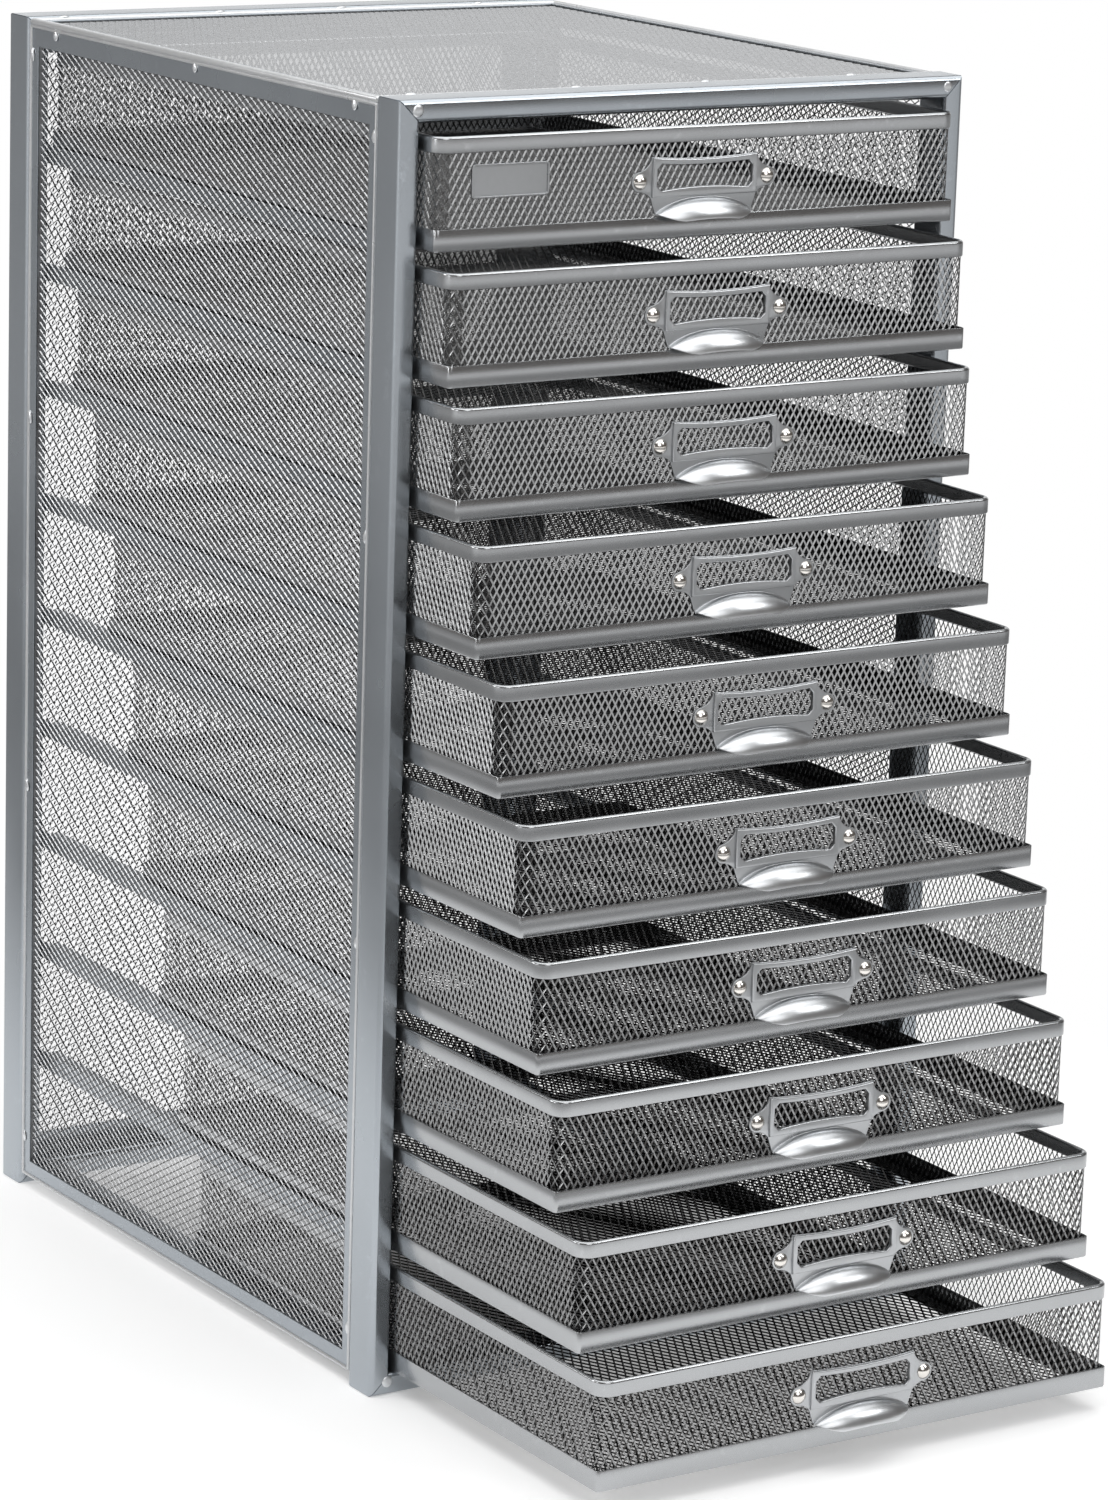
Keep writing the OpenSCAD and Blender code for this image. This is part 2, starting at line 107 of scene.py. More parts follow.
def colour(name, description, rgb):
    return FloatVectorProperty(name=name, description=description, default=rgb, size=3,
                               subtype="COLOR", min=0, max=1)


class MeshSizes(bpy.types.PropertyGroup):
    """The diamonds of the expanded metal and their strands."""
    short_way: length("Short way", "Pitch of the diamonds across their short way", 3.45)
    long_way: length("Long way", "Pitch of the diamonds along their long way", 6.4)
    strand: length("Strand", "Width of a strand", 0.62)
    lift: length("Lift", "How far one edge of a strand is raised by its tilt", 0.34)
    gauge: length("Gauge", "Thickness of a strand at its raised edge", 0.36)
    floor_short_way: length("Floor short way", "Short way of a drawer floor's diamonds", 4.2)
    floor_long_way: length("Floor long way", "Long way of a drawer floor's diamonds", 7.8)


class FrameSizes(bpy.types.PropertyGroup):
    """The mitred tubes of the two end frames."""
    face: length("Face", "Width of a tube seen from the front", 10)
    corner: length("Corner", "Radius along a tube's edges", 2.4)
    mitre: length("Mitre", "Depth of the groove left where two tubes meet", 0.3)


class PanelSizes(bpy.types.PropertyGroup):
    """Borders of the cabinet's mesh panels."""
    bead: length("Bead", "Width of the raised bead round a panel", 1.6)
    bead_rise: length("Bead rise", "Height of the raised bead", 0.9)
    roll: length("Rolled edge", "Radius of the top panel's rolled edge", 1.6)
    border: length("Border", "Width of a panel's flat border", 7)
    head: length("Head border", "Width of a side panel's border along its top", 10)
    foot: length("Foot border", "Width of a side panel's border along its foot", 8)
    back_border: length("Back border", "Width of the back panel's flat border", 9)
    sheet: length("Sheet", "Thickness of a panel's sheet", 0.8)
    fold: length("Fold", "Depth of a panel's folded edge", 5)
    lap: length("Lap", "How far the mesh runs in under the border", 3)
    weld: length("Weld", "Width of a weld dot", 3.6)


class DrawerSizes(bpy.types.PropertyGroup):
    """Rims and mesh of one drawer."""
    rim: length("Rim", "Height of the rolled top rim", 7)
    rim_t: length("Rim thickness", "Thickness of the rolled top rim", 2.4)
    rim_corner: length("Rim corner", "Plan radius of the rim's corners", 7)
    proud: length("Proud", "How far the rims stand out from the mesh", 0.7)
    band: length("Band", "Height of the bottom band", 9.5)
    band_t: length("Band thickness", "Thickness of the bottom band", 0.6)
    band_corner: length("Band corner", "Plan radius of the band's corners", 2)
    flange: length("Flange", "Width of the flange turned in under the drawer", 8)


class PullSizes(bpy.types.PropertyGroup):
    """The label pull, measured from the middle of a drawer's underside."""
    plate: length("Plate", "Thickness of the plate", 1)
    label_w: length("Label width", "Width over the raised frame", 54.6)
    label_z: length("Label height", "Lower edge of the raised frame", 17.8)
    label_h: length("Frame height", "Height of the raised frame", 17.8)
    side_bar: length("Side bar", "Width of the raised frame's side bars", 2.6)
    rail: length("Rail", "Width of the raised frame's top and bottom bars", 3.1)
    rise: length("Rise", "Height of the raised frame over the plate", 1.1)
    bow: length("Bow", "Depth of the curves along the frame", 1.3)
    window_cut: length("Window cut", "Cut corners of the window", 2.2)
    foot_w: length("Foot width", "Width of the plate at its lower corners", 50)
    foot_z: length("Foot height", "Height of the plate's lower corners", 11.2)
    rivet_span: length("Rivet span", "Distance between the two rivets", 65.8)
    rivet_z: length("Rivet height", "Height of the rivets", 25)
    rivet_d: length("Rivet", "Diameter of a rivet's dome", 7)
    rivet_h: length("Rivet dome", "Height of a rivet's dome", 2)
    ear: length("Ear", "Radius of an ear's tip", 4.3)
    hollow: length("Hollow", "Radius of the hollow between ear and frame", 8)
    cup_out: length("Cup depth", "How far the finger cup stands out", 9.3)
    cup_half: length("Cup half width", "Where the cup's long arc would meet its axis", 27.5)
    cup_z: length("Cup height", "Height of the cup's axis", 8.25)
    cup_keep: length("Cup reach", "Half width of the cup that is kept", 24.9)
    cup_wall: length("Cup wall", "Thickness of the cup", 0.9)
    cup_bead: length("Cup bead", "Radius of the rounded edge along the cup's arc", 0.38)
    lip: length("Lip", "Half width of the lip between its two corners", 13.5)
    lip_rise: length("Lip rise", "Rise of the lip in its middle", 0.9)
    tip_rise: length("Tip rise", "Rise of the lip at the cup's tips", 3)


class PlateSizes(bpy.types.PropertyGroup):
    """The bare plate on the top drawer."""
    width: length("Width", "Width of the bare plate", 38.5)
    height: length("Height", "Height of the bare plate", 14.3)
    x: length("Place across", "Middle of the plate from the drawer's middle", -98.3)
    z: length("Place up", "Middle of the plate above the drawer's underside", 29.2)
    corner: length("Corner", "Corner radius of the plate", 1.5)
    gauge: length("Gauge", "Thickness of the plate", 0.7)
    rim: length("Rim", "Width of the plate's raised edge", 0.8)


class Finishes(bpy.types.PropertyGroup):
    """Colours of the steel and the floor."""
    frame: colour("Frames", "Silver paint of the frames", (0.390, 0.420, 0.450))
    panel: colour("Panels", "Silver paint of the panels' borders", (0.370, 0.400, 0.430))
    # The beads' light colour is a painted highlight: it stands in for the bright lines along the
    # panels' rounded edges and the top panel's rolled edge.
    bead: colour("Beads", "Light paint along the panels' rounded edges", (0.620, 0.630, 0.640))
    rim: colour("Rims", "Silver paint of the drawers' rims", (0.405, 0.415, 0.425))
    strand: colour("Strands", "Silver paint of the panels' mesh", (0.290, 0.294, 0.300))
    tray: colour("Trays", "Silver paint of the drawers' mesh", (0.295, 0.299, 0.303))
    # The drawers' floors are coloured near black: painted shade for the dark insides of the drawers,
    # under the drawers above.
    bed: colour("Tray floors", "Silver paint of the drawers' floors", (0.052, 0.052, 0.052))
    pull: colour("Pulls", "Silver paint of the label pulls", (0.450, 0.462, 0.475))
    cup: colour("Cups", "Polished steel of the finger cups", (0.640, 0.655, 0.670))
    chrome: colour("Chrome", "Plating of the rivets", (0.80, 0.77, 0.73))
    floor: colour("Floor", "Floor round the cabinet", (0.90, 0.90, 0.90))


# ---------- node trees ----------

class Value:
    """One socket of a node tree. Arithmetic on values adds Math nodes to the tree."""

    def __init__(self, graph, socket):
        self.graph = graph
        self.socket = socket

    def out(self, name):
        """Another output of the same node."""
        return Value(self.graph, self.socket.node.outputs[name])

    def __abs__(self):
        return self.graph.math("ABSOLUTE", self)

    def __add__(self, other):
        return self.graph.math("ADD", self, other)

    def __radd__(self, other):
        return self.graph.math("ADD", other, self)

    def __sub__(self, other):
        return self.graph.math("SUBTRACT", self, other)

    def __rsub__(self, other):
        return self.graph.math("SUBTRACT", other, self)

    def __mul__(self, other):
        return self.graph.math("MULTIPLY", self, other)

    def __rmul__(self, other):
        return self.graph.math("MULTIPLY", other, self)

    def __truediv__(self, other):
        return self.graph.math("DIVIDE", self, other)

    def __rtruediv__(self, other):
        return self.graph.math("DIVIDE", other, self)

    def __pow__(self, other):
        return self.graph.math("POWER", self, other)

    def __rpow__(self, other):
        return self.graph.math("POWER", other, self)


class Graph:
    """Adds nodes to a node tree and links them."""

    def __init__(self, tree):
        self.tree = tree

    def add(self, kind, settings=None, *values, **named):
        """A node of that kind, its settings made first, then its inputs in order or by name."""
        node = self.tree.nodes.new(kind)
        for key, setting in (settings or {}).items():
            if key == "stops":
                self.set_stops(node.color_ramp, setting)
            else:
                setattr(node, key, setting)
        sockets = [s for s in node.inputs if s.enabled]
        for socket, value in zip(sockets, values):
            self.put(socket, value)
        for name, value in named.items():
            wanted = name.replace("_", " ")
            self.put(next(s for s in sockets if s.name == wanted), value)
        shown = [s for s in node.outputs if s.enabled]
        return Value(self, shown[0]) if shown else node

    def put(self, socket, value):
        """Sets a socket, or links one value or several to it."""
        if isinstance(value, list):
            for part in value:
                self.tree.links.new(part.socket, socket)
        elif isinstance(value, Value):
            self.tree.links.new(value.socket, socket)
        else:
            socket.default_value = value

    @staticmethod
    def set_stops(ramp, stops):
        """Gives a colour ramp its stops, each a position and an RGB triple."""
        while len(ramp.elements) > 1:
            ramp.elements.remove(ramp.elements[-1])
        for place, (position, rgb) in enumerate(stops):
            element = ramp.elements.new(position) if place else ramp.elements[0]
            element.position = position
            element.color = (*rgb, 1)

    def math(self, operation, *operands):
        return self.add("ShaderNodeMath", {"operation": operation}, *operands)

    def fade(self, value, start, end, before=0.0, after=1.0):
        """Passes smoothly from one level to another while the value goes from start to end."""
        return self.add("ShaderNodeMapRange", {"interpolation_type": "SMOOTHSTEP"}, value, start,
                        end, before, after)

    def mix(self, factor, *colours):
        """Mixes two colours, each an RGB triple or a value."""
        return self.add("ShaderNodeMix", {"data_type": "RGBA"}, factor,
                        *(c if isinstance(c, Value) else (*c, 1) for c in colours))


def geometry_tree(name, sizes):
    """A geometry tree with named inputs. Returns its graph and the inputs' values by name."""
    tree = bpy.data.node_groups.new(name, "GeometryNodeTree")
    tree.interface.new_socket("Geometry", in_out="INPUT", socket_type="NodeSocketGeometry")
    for label, kind in sizes:
        tree.interface.new_socket(label, in_out="INPUT", socket_type="NodeSocket" + kind)
    tree.interface.new_socket("Geometry", in_out="OUTPUT", socket_type="NodeSocketGeometry")
    source = tree.nodes.new("NodeGroupInput")
    graph = Graph(tree)
    return graph, {s.name: Value(graph, s) for s in source.outputs if s.name}


def end_tree(graph, geometry, material, underside=None):
    """Ends a tree in Realize Instances and Set Material, with a second material of painted shade for
    the undersides.
    """
    real = graph.add("GeometryNodeRealizeInstances", None, geometry)
    finished = graph.add("GeometryNodeSetMaterial", None, real, Material=material)
    if underside:
        marked = graph.add("GeometryNodeInputNamedAttribute", {"data_type": "BOOLEAN"},
                           Name="underside")
        finished = graph.add("GeometryNodeSetMaterial", None, finished, Selection=marked,
                             Material=underside)
    graph.add("NodeGroupOutput", None, finished)
    return graph.tree


def baked(holder):
    """The mesh that an object's modifiers or its filled curve make. The object goes."""
    bpy.context.scene.collection.objects.link(holder)
    graph = bpy.context.evaluated_depsgraph_get()
    mesh = bpy.data.meshes.new_from_object(holder.evaluated_get(graph), depsgraph=graph)
    holder.modifiers.clear()
    bpy.data.objects.remove(holder)
    return mesh


def grown_mesh(source_mesh, tree, values):
    """The mesh that a geometry tree makes from a source mesh and named input values."""
    grower = bpy.data.objects.new("grower", source_mesh)
    modifier = grower.modifiers.new("grow", "NODES")
    modifier.node_group = tree
    for item in tree.interface.items_tree:
        if item.item_type == "SOCKET" and item.in_out == "INPUT" and item.name in values:
            modifier[item.identifier] = values[item.name]
    mesh = baked(grower)
    if "underside" in mesh.attributes:
        mesh.attributes.remove(mesh.attributes["underside"])
    return mesh


# ---------- materials ----------

def shader(name):
    """A new material, its graph, and a point's place on the object."""
    material = bpy.data.materials.new(name)
    material.use_nodes = True
    material.node_tree.nodes.clear()
    graph = Graph(material.node_tree)
    return material, graph, graph.add("ShaderNodeTexCoord").out("Object")


def noise(graph, place, scale, detail=2.0, roughness=0.5):
    """A noise value with a feature every 1 / scale metres."""
    return graph.add("ShaderNodeTexNoise", None, Vector=place, Scale=scale, Detail=detail,
                     Roughness=roughness)


def scaled(rgb, factor):
    return tuple(min(1.0, c * factor) for c in rgb)


def silver_paint(name, rgb, metallic, roughness, cloud=0.10):
    """Silver-grey paint on steel: fine flake, soft clouds and rubbed spots."""
    material, graph, place = shader(name)
    clouds = noise(graph, place, 22.0, 3.0)
    flakes = noise(graph, place, 2600.0, 1.0)
    rubs = noise(graph, place, 160.0, 4.0, 0.65)
    rubbed = graph.add("ShaderNodeMapRange", None, rubs, 0.60, 0.74, 0.0, 0.5)
    base = graph.mix(clouds, scaled(rgb, 1 - cloud), scaled(rgb, 1 + cloud))
    flaked = graph.mix((flakes - 0.5) * 0.4 + 0.3, base, scaled(rgb, 1.25))
    worn = graph.mix(rubbed * 0.5, flaked, scaled(rgb, 1.5))
    skin_bump = graph.add("ShaderNodeBump", None, Strength=0.03, Distance=0.0001,
                          Height=noise(graph, place, 900.0))
    surface = graph.add("ShaderNodeBsdfPrincipled", None, Base_Color=worn, Metallic=metallic,
                        Roughness=clouds * 0.16 + (roughness - 0.08) - rubbed * 0.08,
                        Normal=skin_bump)
    graph.add("ShaderNodeOutputMaterial", None, surface)
    return material


def strand_steel(name, rgb, roughness):
    """Painted strands of expanded metal, each cell a little lighter or darker than the next."""
    material, graph, place = shader(name)
    cells = noise(graph, place, 420.0, 1.0)
    clouds = noise(graph, place, 16.0)
    tone = graph.add("ShaderNodeMapRange", None, cells, 0.38, 0.62)
    base = graph.mix(tone, scaled(rgb, 0.90), scaled(rgb, 1.12))
    tinted = graph.mix(clouds * 0.3, base, scaled(rgb, 0.8))
    surface = graph.add("ShaderNodeBsdfPrincipled", None, Base_Color=tinted, Metallic=0.97,
                        Roughness=tone * 0.12 + (roughness - 0.06))
    graph.add("ShaderNodeOutputMaterial", None, surface)
    return material


def polished_steel(name, rgb, metallic, roughness, smear):
    """Bright bare or plated steel with faint smears."""
    material, graph, place = shader(name)
    smears = noise(graph, place, 240.0, 3.0, 0.6)
    base = graph.mix(smears, scaled(rgb, 0.92), scaled(rgb, 1.06))
    surface = graph.add("ShaderNodeBsdfPrincipled", None, Base_Color=base, Metallic=metallic,
                        Roughness=smears * smear + (roughness - smear / 2))
    graph.add("ShaderNodeOutputMaterial", None, surface)
    return material


def make_materials(finishes):
    """Every finish of the cabinet, by name."""
    return {
        "frame": silver_paint("frame_paint", finishes.frame, 0.95, 0.25),
        "panel": silver_paint("panel_paint", finishes.panel, 0.95, 0.27),
        # The beads get a lighter, less metallic paint: a painted highlight along the panels' edges.
        "bead": silver_paint("bead_paint", finishes.bead, 0.55, 0.32, cloud=0.05),
        "runner": silver_paint("runner_paint", scaled(finishes.panel, 0.8), 0.90, 0.38),
        "rim": silver_paint("rim_paint", finishes.rim, 0.95, 0.23),
        "strand": strand_steel("strand_paint", finishes.strand, 0.27),
        "tray": strand_steel("tray_paint", finishes.tray, 0.23),
        # The tray floors' near-black colour is painted shade for the drawers' dark insides.
        "bed": strand_steel("tray_floor_paint", finishes.bed, 0.20),
        # The strands' undersides get a still darker colour: painted shade on faces that point down
        # or into the cabinet.
        "shade": strand_steel("underside_paint", scaled(finishes.bed, 0.7), 0.30),
        "pull": silver_paint("pull_paint", finishes.pull, 0.92, 0.30, cloud=0.05),
        "cup": polished_steel("cup_polish", finishes.cup, 1.0, 0.32, 0.08),
        "weld": polished_steel("weld_steel", scaled(finishes.rim, 1.9), 0.92, 0.34, 0.2),
        "plate": polished_steel("plate_satin", scaled(finishes.pull, 0.95), 0.92, 0.30, 0.1),
        "chrome": polished_steel("rivet_chrome", finishes.chrome, 1.0, 0.17, 0.06),
    }


# ---------- mesh helpers ----------

def corners(node):
    """The lowest and the highest corner of a CAD node's box."""
    return [Vector(corner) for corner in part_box(node)]


def drawer_place(body):
    """Middle of a drawer's front face at its underside, and its width, depth and height."""
    number = body.split("_")[1]
    low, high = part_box("bottom_rim_" + number)
    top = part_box("top_rim_" + number)[1]
    return (Vector(((low[0] + high[0]) / 2, low[1], low[2])),
            (high[0] - low[0], high[1] - low[1], top[2] - low[2]))


def moved(name, mesh, place):
    """A copy of a mesh with its place in its points."""
    copy = mesh.copy()
    copy.name = name
    copy.transform(place)
    if place.determinant() < 0:
        copy.flip_normals()
    return copy


def place_piece(name, mesh, place, finish, body, slot, *replaced):
    """Adds a mesh at its place as a piece of the object, on its body and instead of CAD nodes.
    With None for a finish, the mesh keeps its own materials."""
    piece = bpy.data.objects.new(name, moved(name, mesh, place))
    bpy.context.scene.collection.objects.link(piece)
    if finish:
        piece.data.materials.append(MATERIALS[finish])
    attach(piece, body)
    if replaced:
        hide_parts(*replaced)


def place_in_drawers(place_of, *pieces):
    """Adds to each drawer a copy of every piece: its name, mesh, finish, slot and CAD node."""
    for body in DRAWERS:
        number = body.split("_")[1]
        for name, mesh, finish, slot, node in pieces:
            place_piece(name + number, mesh, place_of(body), finish, body, slot, node + number)


def finish_mesh(name, bm, sharp=radians(38)):
    """Turns a bmesh into a mesh whose faces are smooth between its sharper edges."""
    bmesh.ops.remove_doubles(bm, verts=bm.verts, dist=1e-6)
    bmesh.ops.recalc_face_normals(bm, faces=bm.faces)
    for face in bm.faces:
        face.smooth = True
    for edge in bm.edges:
        edge.smooth = len(edge.link_faces) == 2 and edge.calc_face_angle(0) < sharp
    return plain_mesh(name, bm)


def plain_mesh(name, bm):
    """The mesh of a bmesh, which is freed."""
    mesh = bpy.data.meshes.new(name)
    bm.to_mesh(mesh)
    bm.free()
    return mesh


def joined(name, *meshes):
    """Several meshes as one."""
    bm = bmesh.new()
    for mesh in meshes:
        bm.from_mesh(mesh)
    return plain_mesh(name, bm)


def skin(bm, loops, closed=True):
    """Joins each loop of points to the next with faces, and closes the two ends."""
    rows = [[bm.verts.new(point) for point in loop] for loop in loops]
    count = len(rows[0])
    for first, second in zip(rows, rows[1:]):
        for k in range(count):
            bm.faces.new((first[k], first[(k + 1) % count], second[(k + 1) % count], second[k]))
    if closed:
        bm.faces.new(rows[-1])
        bm.faces.new(list(reversed(rows[0])))


def skinned(name, loops, closed=True, sharp=radians(38)):
    """A mesh of loops of points, each joined to the next."""
    bm = bmesh.new()
    skin(bm, loops, closed)
    return finish_mesh(name, bm, sharp)


def circle(radius, height, around, stretch=1.0):
    """Points of a circle round the z axis, longer along x by that factor."""
    return [(radius * stretch * cos(2 * pi * k / around), radius * sin(2 * pi * k / around),
             height) for k in range(around)]


def rounded_loop(width, depth, radius, steps=8):
    """Points of a rounded rectangle round the origin, anticlockwise."""
    points = []
    for turn, (sx, sy) in enumerate(((1, -1), (1, 1), (-1, 1), (-1, -1))):
        cx = sx * (width / 2 - radius)
        cy = sy * (depth / 2 - radius)
        for step in range(steps + 1):
            angle = radians(-90 + 90 * turn + 90 * step / steps)
            points.append((cx + radius * cos(angle), cy + radius * sin(angle)))
    return points


def ring(name, width, depth, corner, section, steps=8):
    """A closed ring round the origin: each (inset, height) of the section runs all the way round.
    An inset is one length, or four for left, right, foot and head."""
    loops = []
    for inset, height in section:
        left, right, foot, head = inset if isinstance(inset, tuple) else (inset,) * 4
        radius = max(corner - min(left, right, foot, head), 1e-5)
        outline = rounded_loop(width - left - right, depth - foot - head, radius, steps)
        loops.append([(x + (left - right) / 2, y + (foot - head) / 2, height) for x, y in outline])
    return skinned(name, loops + loops[:1], closed=False)


# ---------- expanded metal ----------

def lattice_cell(sizes, short_way, long_way, slim=1.0):
    """Two strands that rise from one crossing, each a tilted three-sided bar."""
    bm = bmesh.new()
    for lean in (1, -1):
        along = Vector((lean * short_way / 2, long_way / 2, 0))
        across = Vector((along.y, -along.x, 0)).normalized() * sizes.strand / 2 * slim
        raised = Vector((0, 0, sizes.lift * slim))
        section = (-across, across + raised, across + raised - Vector((0, 0, sizes.gauge * slim)))
        skin(bm, [[start + point for point in section] for start in (Vector(), along)],
             closed=False)
    bmesh.ops.recalc_face_normals(bm, faces=bm.faces)
    return plain_mesh("lattice_cell", bm)


LATTICE_INPUTS = [("Columns", "Int"), ("Rows", "Int"), ("Short way", "Float"),
                  ("Long way", "Float")]


def lattice(graph, inputs):
    """Two grids of cells, half a diamond apart both ways, with their corner at the origin."""
    short = inputs["Short way"]
    long = inputs["Long way"]
    width = (inputs["Columns"] - 1) * short
    height = (inputs["Rows"] - 1) * long
    grid = graph.add("GeometryNodeMeshGrid", None, width, height, inputs["Columns"], inputs["Rows"])
    layers = []
    for step in (0.0, 0.5):
        shift = graph.add("ShaderNodeCombineXYZ", None, width / 2 + short * step,
                          height / 2 + long * step)
        layers.append(graph.add("GeometryNodeTransform", None, grid, Translation=shift))
    points = graph.add("GeometryNodeJoinGeometry", None, layers)
    cells = graph.add("GeometryNodeInstanceOnPoints", None, points, Instance=inputs["Geometry"])
    loose = graph.add("GeometryNodeRealizeInstances", None, cells)
    whole = graph.add("GeometryNodeMergeByDistance", None, loose, Distance=0.02 * MM)
    # Faces that point down, or inwards once bent, are marked to take the painted shade of
    # undersides.
    normal = graph.add("ShaderNodeSeparateXYZ", None, graph.add("GeometryNodeInputNormal"))
    below = graph.add("FunctionNodeCompare", {"data_type": "FLOAT", "operation": "LESS_THAN"},
                      normal.out("Z"), -0.5)
    return graph.add("GeometryNodeStoreNamedAttribute", {"data_type": "BOOLEAN", "domain": "FACE"},
                     whole, Name="underside", Value=below)


def flat_mesh_tree(material):
    """A flat sheet of expanded metal."""
    graph, inputs = geometry_tree("expanded_sheet", LATTICE_INPUTS)
    return end_tree(graph, lattice(graph, inputs), material, MATERIALS["shade"])


def wall_mesh_tree(material):
    """Expanded metal bent round a rounded rectangle: x runs both ways from its front left corner,
    y up and z outwards. Each half leans away from that corner."""
    graph, inputs = geometry_tree("expanded_wall", LATTICE_INPUTS + [
        ("Path width", "Float"), ("Path depth", "Float"), ("Corner", "Float")])
    half = lattice(graph, inputs)
    other = graph.add("GeometryNodeFlipFaces", None,
                      graph.add("GeometryNodeTransform", None, half, Scale=(-1, 1, 1)))
    sheet = graph.add("GeometryNodeJoinGeometry", None, [half, other])
    box = graph.add("GeometryNodeCurvePrimitiveQuadrilateral", {"mode": "RECTANGLE"},
                    inputs["Path width"], inputs["Path depth"])
    path = graph.add("GeometryNodeFilletCurve", {"mode": "POLY"}, box, 8, inputs["Corner"])
    flat = graph.add("ShaderNodeSeparateXYZ", None, graph.add("GeometryNodeInputPosition"))
    around = flat.out("X") / ((inputs["Columns"] - 1) * inputs["Short way"] * 2) + 0.5
    sample = graph.add("GeometryNodeSampleCurve", {"mode": "FACTOR"}, Curves=path,
                       Factor=graph.math("FRACT", around))
    outward = graph.add("ShaderNodeVectorMath", {"operation": "CROSS_PRODUCT"},
                        sample.out("Tangent"), (0, 0, 1))
    offset = graph.add("ShaderNodeVectorMath", {"operation": "SCALE"}, outward,
                       Scale=flat.out("Z"))
    up = graph.add("ShaderNodeCombineXYZ", None, 0, 0, flat.out("Y"))
    side = graph.add("ShaderNodeVectorMath", {"operation": "ADD"}, sample.out("Position"), offset)
    bent = graph.add("ShaderNodeVectorMath", {"operation": "ADD"}, side, up)
    return end_tree(graph, graph.add("GeometryNodeSetPosition", None, sheet, Position=bent),
                    material, MATERIALS["shade"])


def flat_mesh(tree, sizes, pitch, width, height, overlap=0.0, slim=1.0):
    """A flat sheet that covers width by height from the origin, and no more than the overlap
    round it. The pitch is the diamonds' short and long way."""
    short_way, long_way = pitch
    columns = floor((width + 2 * overlap) / short_way - 0.5)
    rows = floor((height + 2 * overlap) / long_way - 0.5)
    sheet = grown_mesh(lattice_cell(sizes, short_way, long_way, slim), tree, {
        "Columns": columns, "Rows": rows, "Short way": short_way, "Long way": long_way})
    margin_x = (width - (columns + 0.5) * short_way) / 2
    margin_y = (height - (rows + 0.5) * long_way) / 2
    sheet.transform(Matrix.Translation((margin_x + short_way / 4, margin_y, 0)))
    return sheet


# ---------- frames and welds ----------

def mitred_tubes(low, high, s):
    """Four tubes round an opening. Their mitred ends are eased, so that each joint shows."""
    depth = high.y - low.y
    middle = (low.y + high.y) / 2
    full = rounded_loop(s.face, depth, s.corner, 6)
    eased = rounded_loop(s.face - 2 * s.mitre, depth - 2 * s.mitre, s.corner - s.mitre / 2, 6)
    gap = 0.03 * MM
    ends = [(low.x, low.z, 1, 1), (high.x, low.z, -1, 1), (high.x, high.z, -1, -1),
            (low.x, high.z, 1, -1)]
    bm = bmesh.new()
    for start, end in zip(ends, ends[1:] + ends[:1]):
        along = Vector((end[0] - start[0], 0, end[1] - start[1])).normalized()
        loops = []
        for (x, z, way_x, way_z), outline, offset in (
                (start, eased, gap), (start, full, s.mitre), (end, full, -s.mitre),
                (end, eased, -gap)):
            loops.append([Vector((x + way_x * (u + s.face / 2), middle + v,
                                  z + way_z * (u + s.face / 2))) + along * offset
                          for u, v in outline])
        skin(bm, loops)
    return finish_mesh("tubes", bm)


def weld_dot_mesh(width, rise, stretch=1.0):
    """A low blob of weld, longer along x by that factor, standing on z = 0."""
    rings = ((1.0, -0.15), (0.93, 0.25), (0.72, 0.62), (0.4, 0.9))
    return skinned("weld_dot", [circle(width / 2 * scale, rise * height, 12, stretch)
                                for scale, height in rings])


def weld_tree(material):
    """Dots of weld on a list of points, each turned and sized a little differently."""
    graph, inputs = geometry_tree("weld_dots", [("Dot", "Object"), ("Seed", "Int")])
    dot = graph.add("GeometryNodeObjectInfo", None, inputs["Dot"]).out("Geometry")
    turn = graph.add("FunctionNodeRandomValue", {"data_type": "FLOAT"}, -0.15, 0.15,
                     Seed=inputs["Seed"])
    size = graph.add("FunctionNodeRandomValue", {"data_type": "FLOAT"}, 0.8, 1.2,
                     Seed=inputs["Seed"] + 1)
    upright = graph.add("FunctionNodeAlignRotationToVector", {"axis": "Z"},
                        Vector=graph.add("GeometryNodeInputNormal"))
    turned = graph.add("FunctionNodeRotateRotation", {"rotation_space": "LOCAL"}, upright,
                       Rotate_By=graph.add("ShaderNodeCombineXYZ", None, 0, 0, turn))
    dots = graph.add("GeometryNodeInstanceOnPoints", None, inputs["Geometry"], Instance=dot,
                     Rotation=turned, Scale=size)
    return end_tree(graph, dots, material)


# ---------- label pull ----------

def hollow_centre(ear, corner, ear_r, hollow_r):
    """Centre of the hollow that touches the ear's tip and passes the frame's corner."""
    away = corner - ear
    d = away.length
    a = (d * d + (ear_r + hollow_r) ** 2 - hollow_r ** 2) / (2 * d)
    h = sqrt((ear_r + hollow_r) ** 2 - a * a)
    u = away / d
    side = Vector((abs(u.y), abs(u.x) if u.y > 0 else -abs(u.x)))
    return ear + a * u + h * side


def arc_between(centre, start, end, steps):
    """Points of the arc round a centre from one point to another, both included."""
    first = start - centre
    last = end - centre
    a = atan2(first.y, first.x)
    b = atan2(last.y, last.x)
    return [centre + first.length * Vector((cos(a + (b - a) * k / steps),
                                            sin(a + (b - a) * k / steps)))
            for k in range(steps + 1)]


def bow_points(half, z, rise, steps=16):
    """Points of a shallow curve from right to left, or from left to right for a negative half."""
    return [Vector((half * (1 - 2 * k / steps), z + rise * (1 - (1 - 2 * k / steps) ** 2)))
            for k in range(steps + 1)]


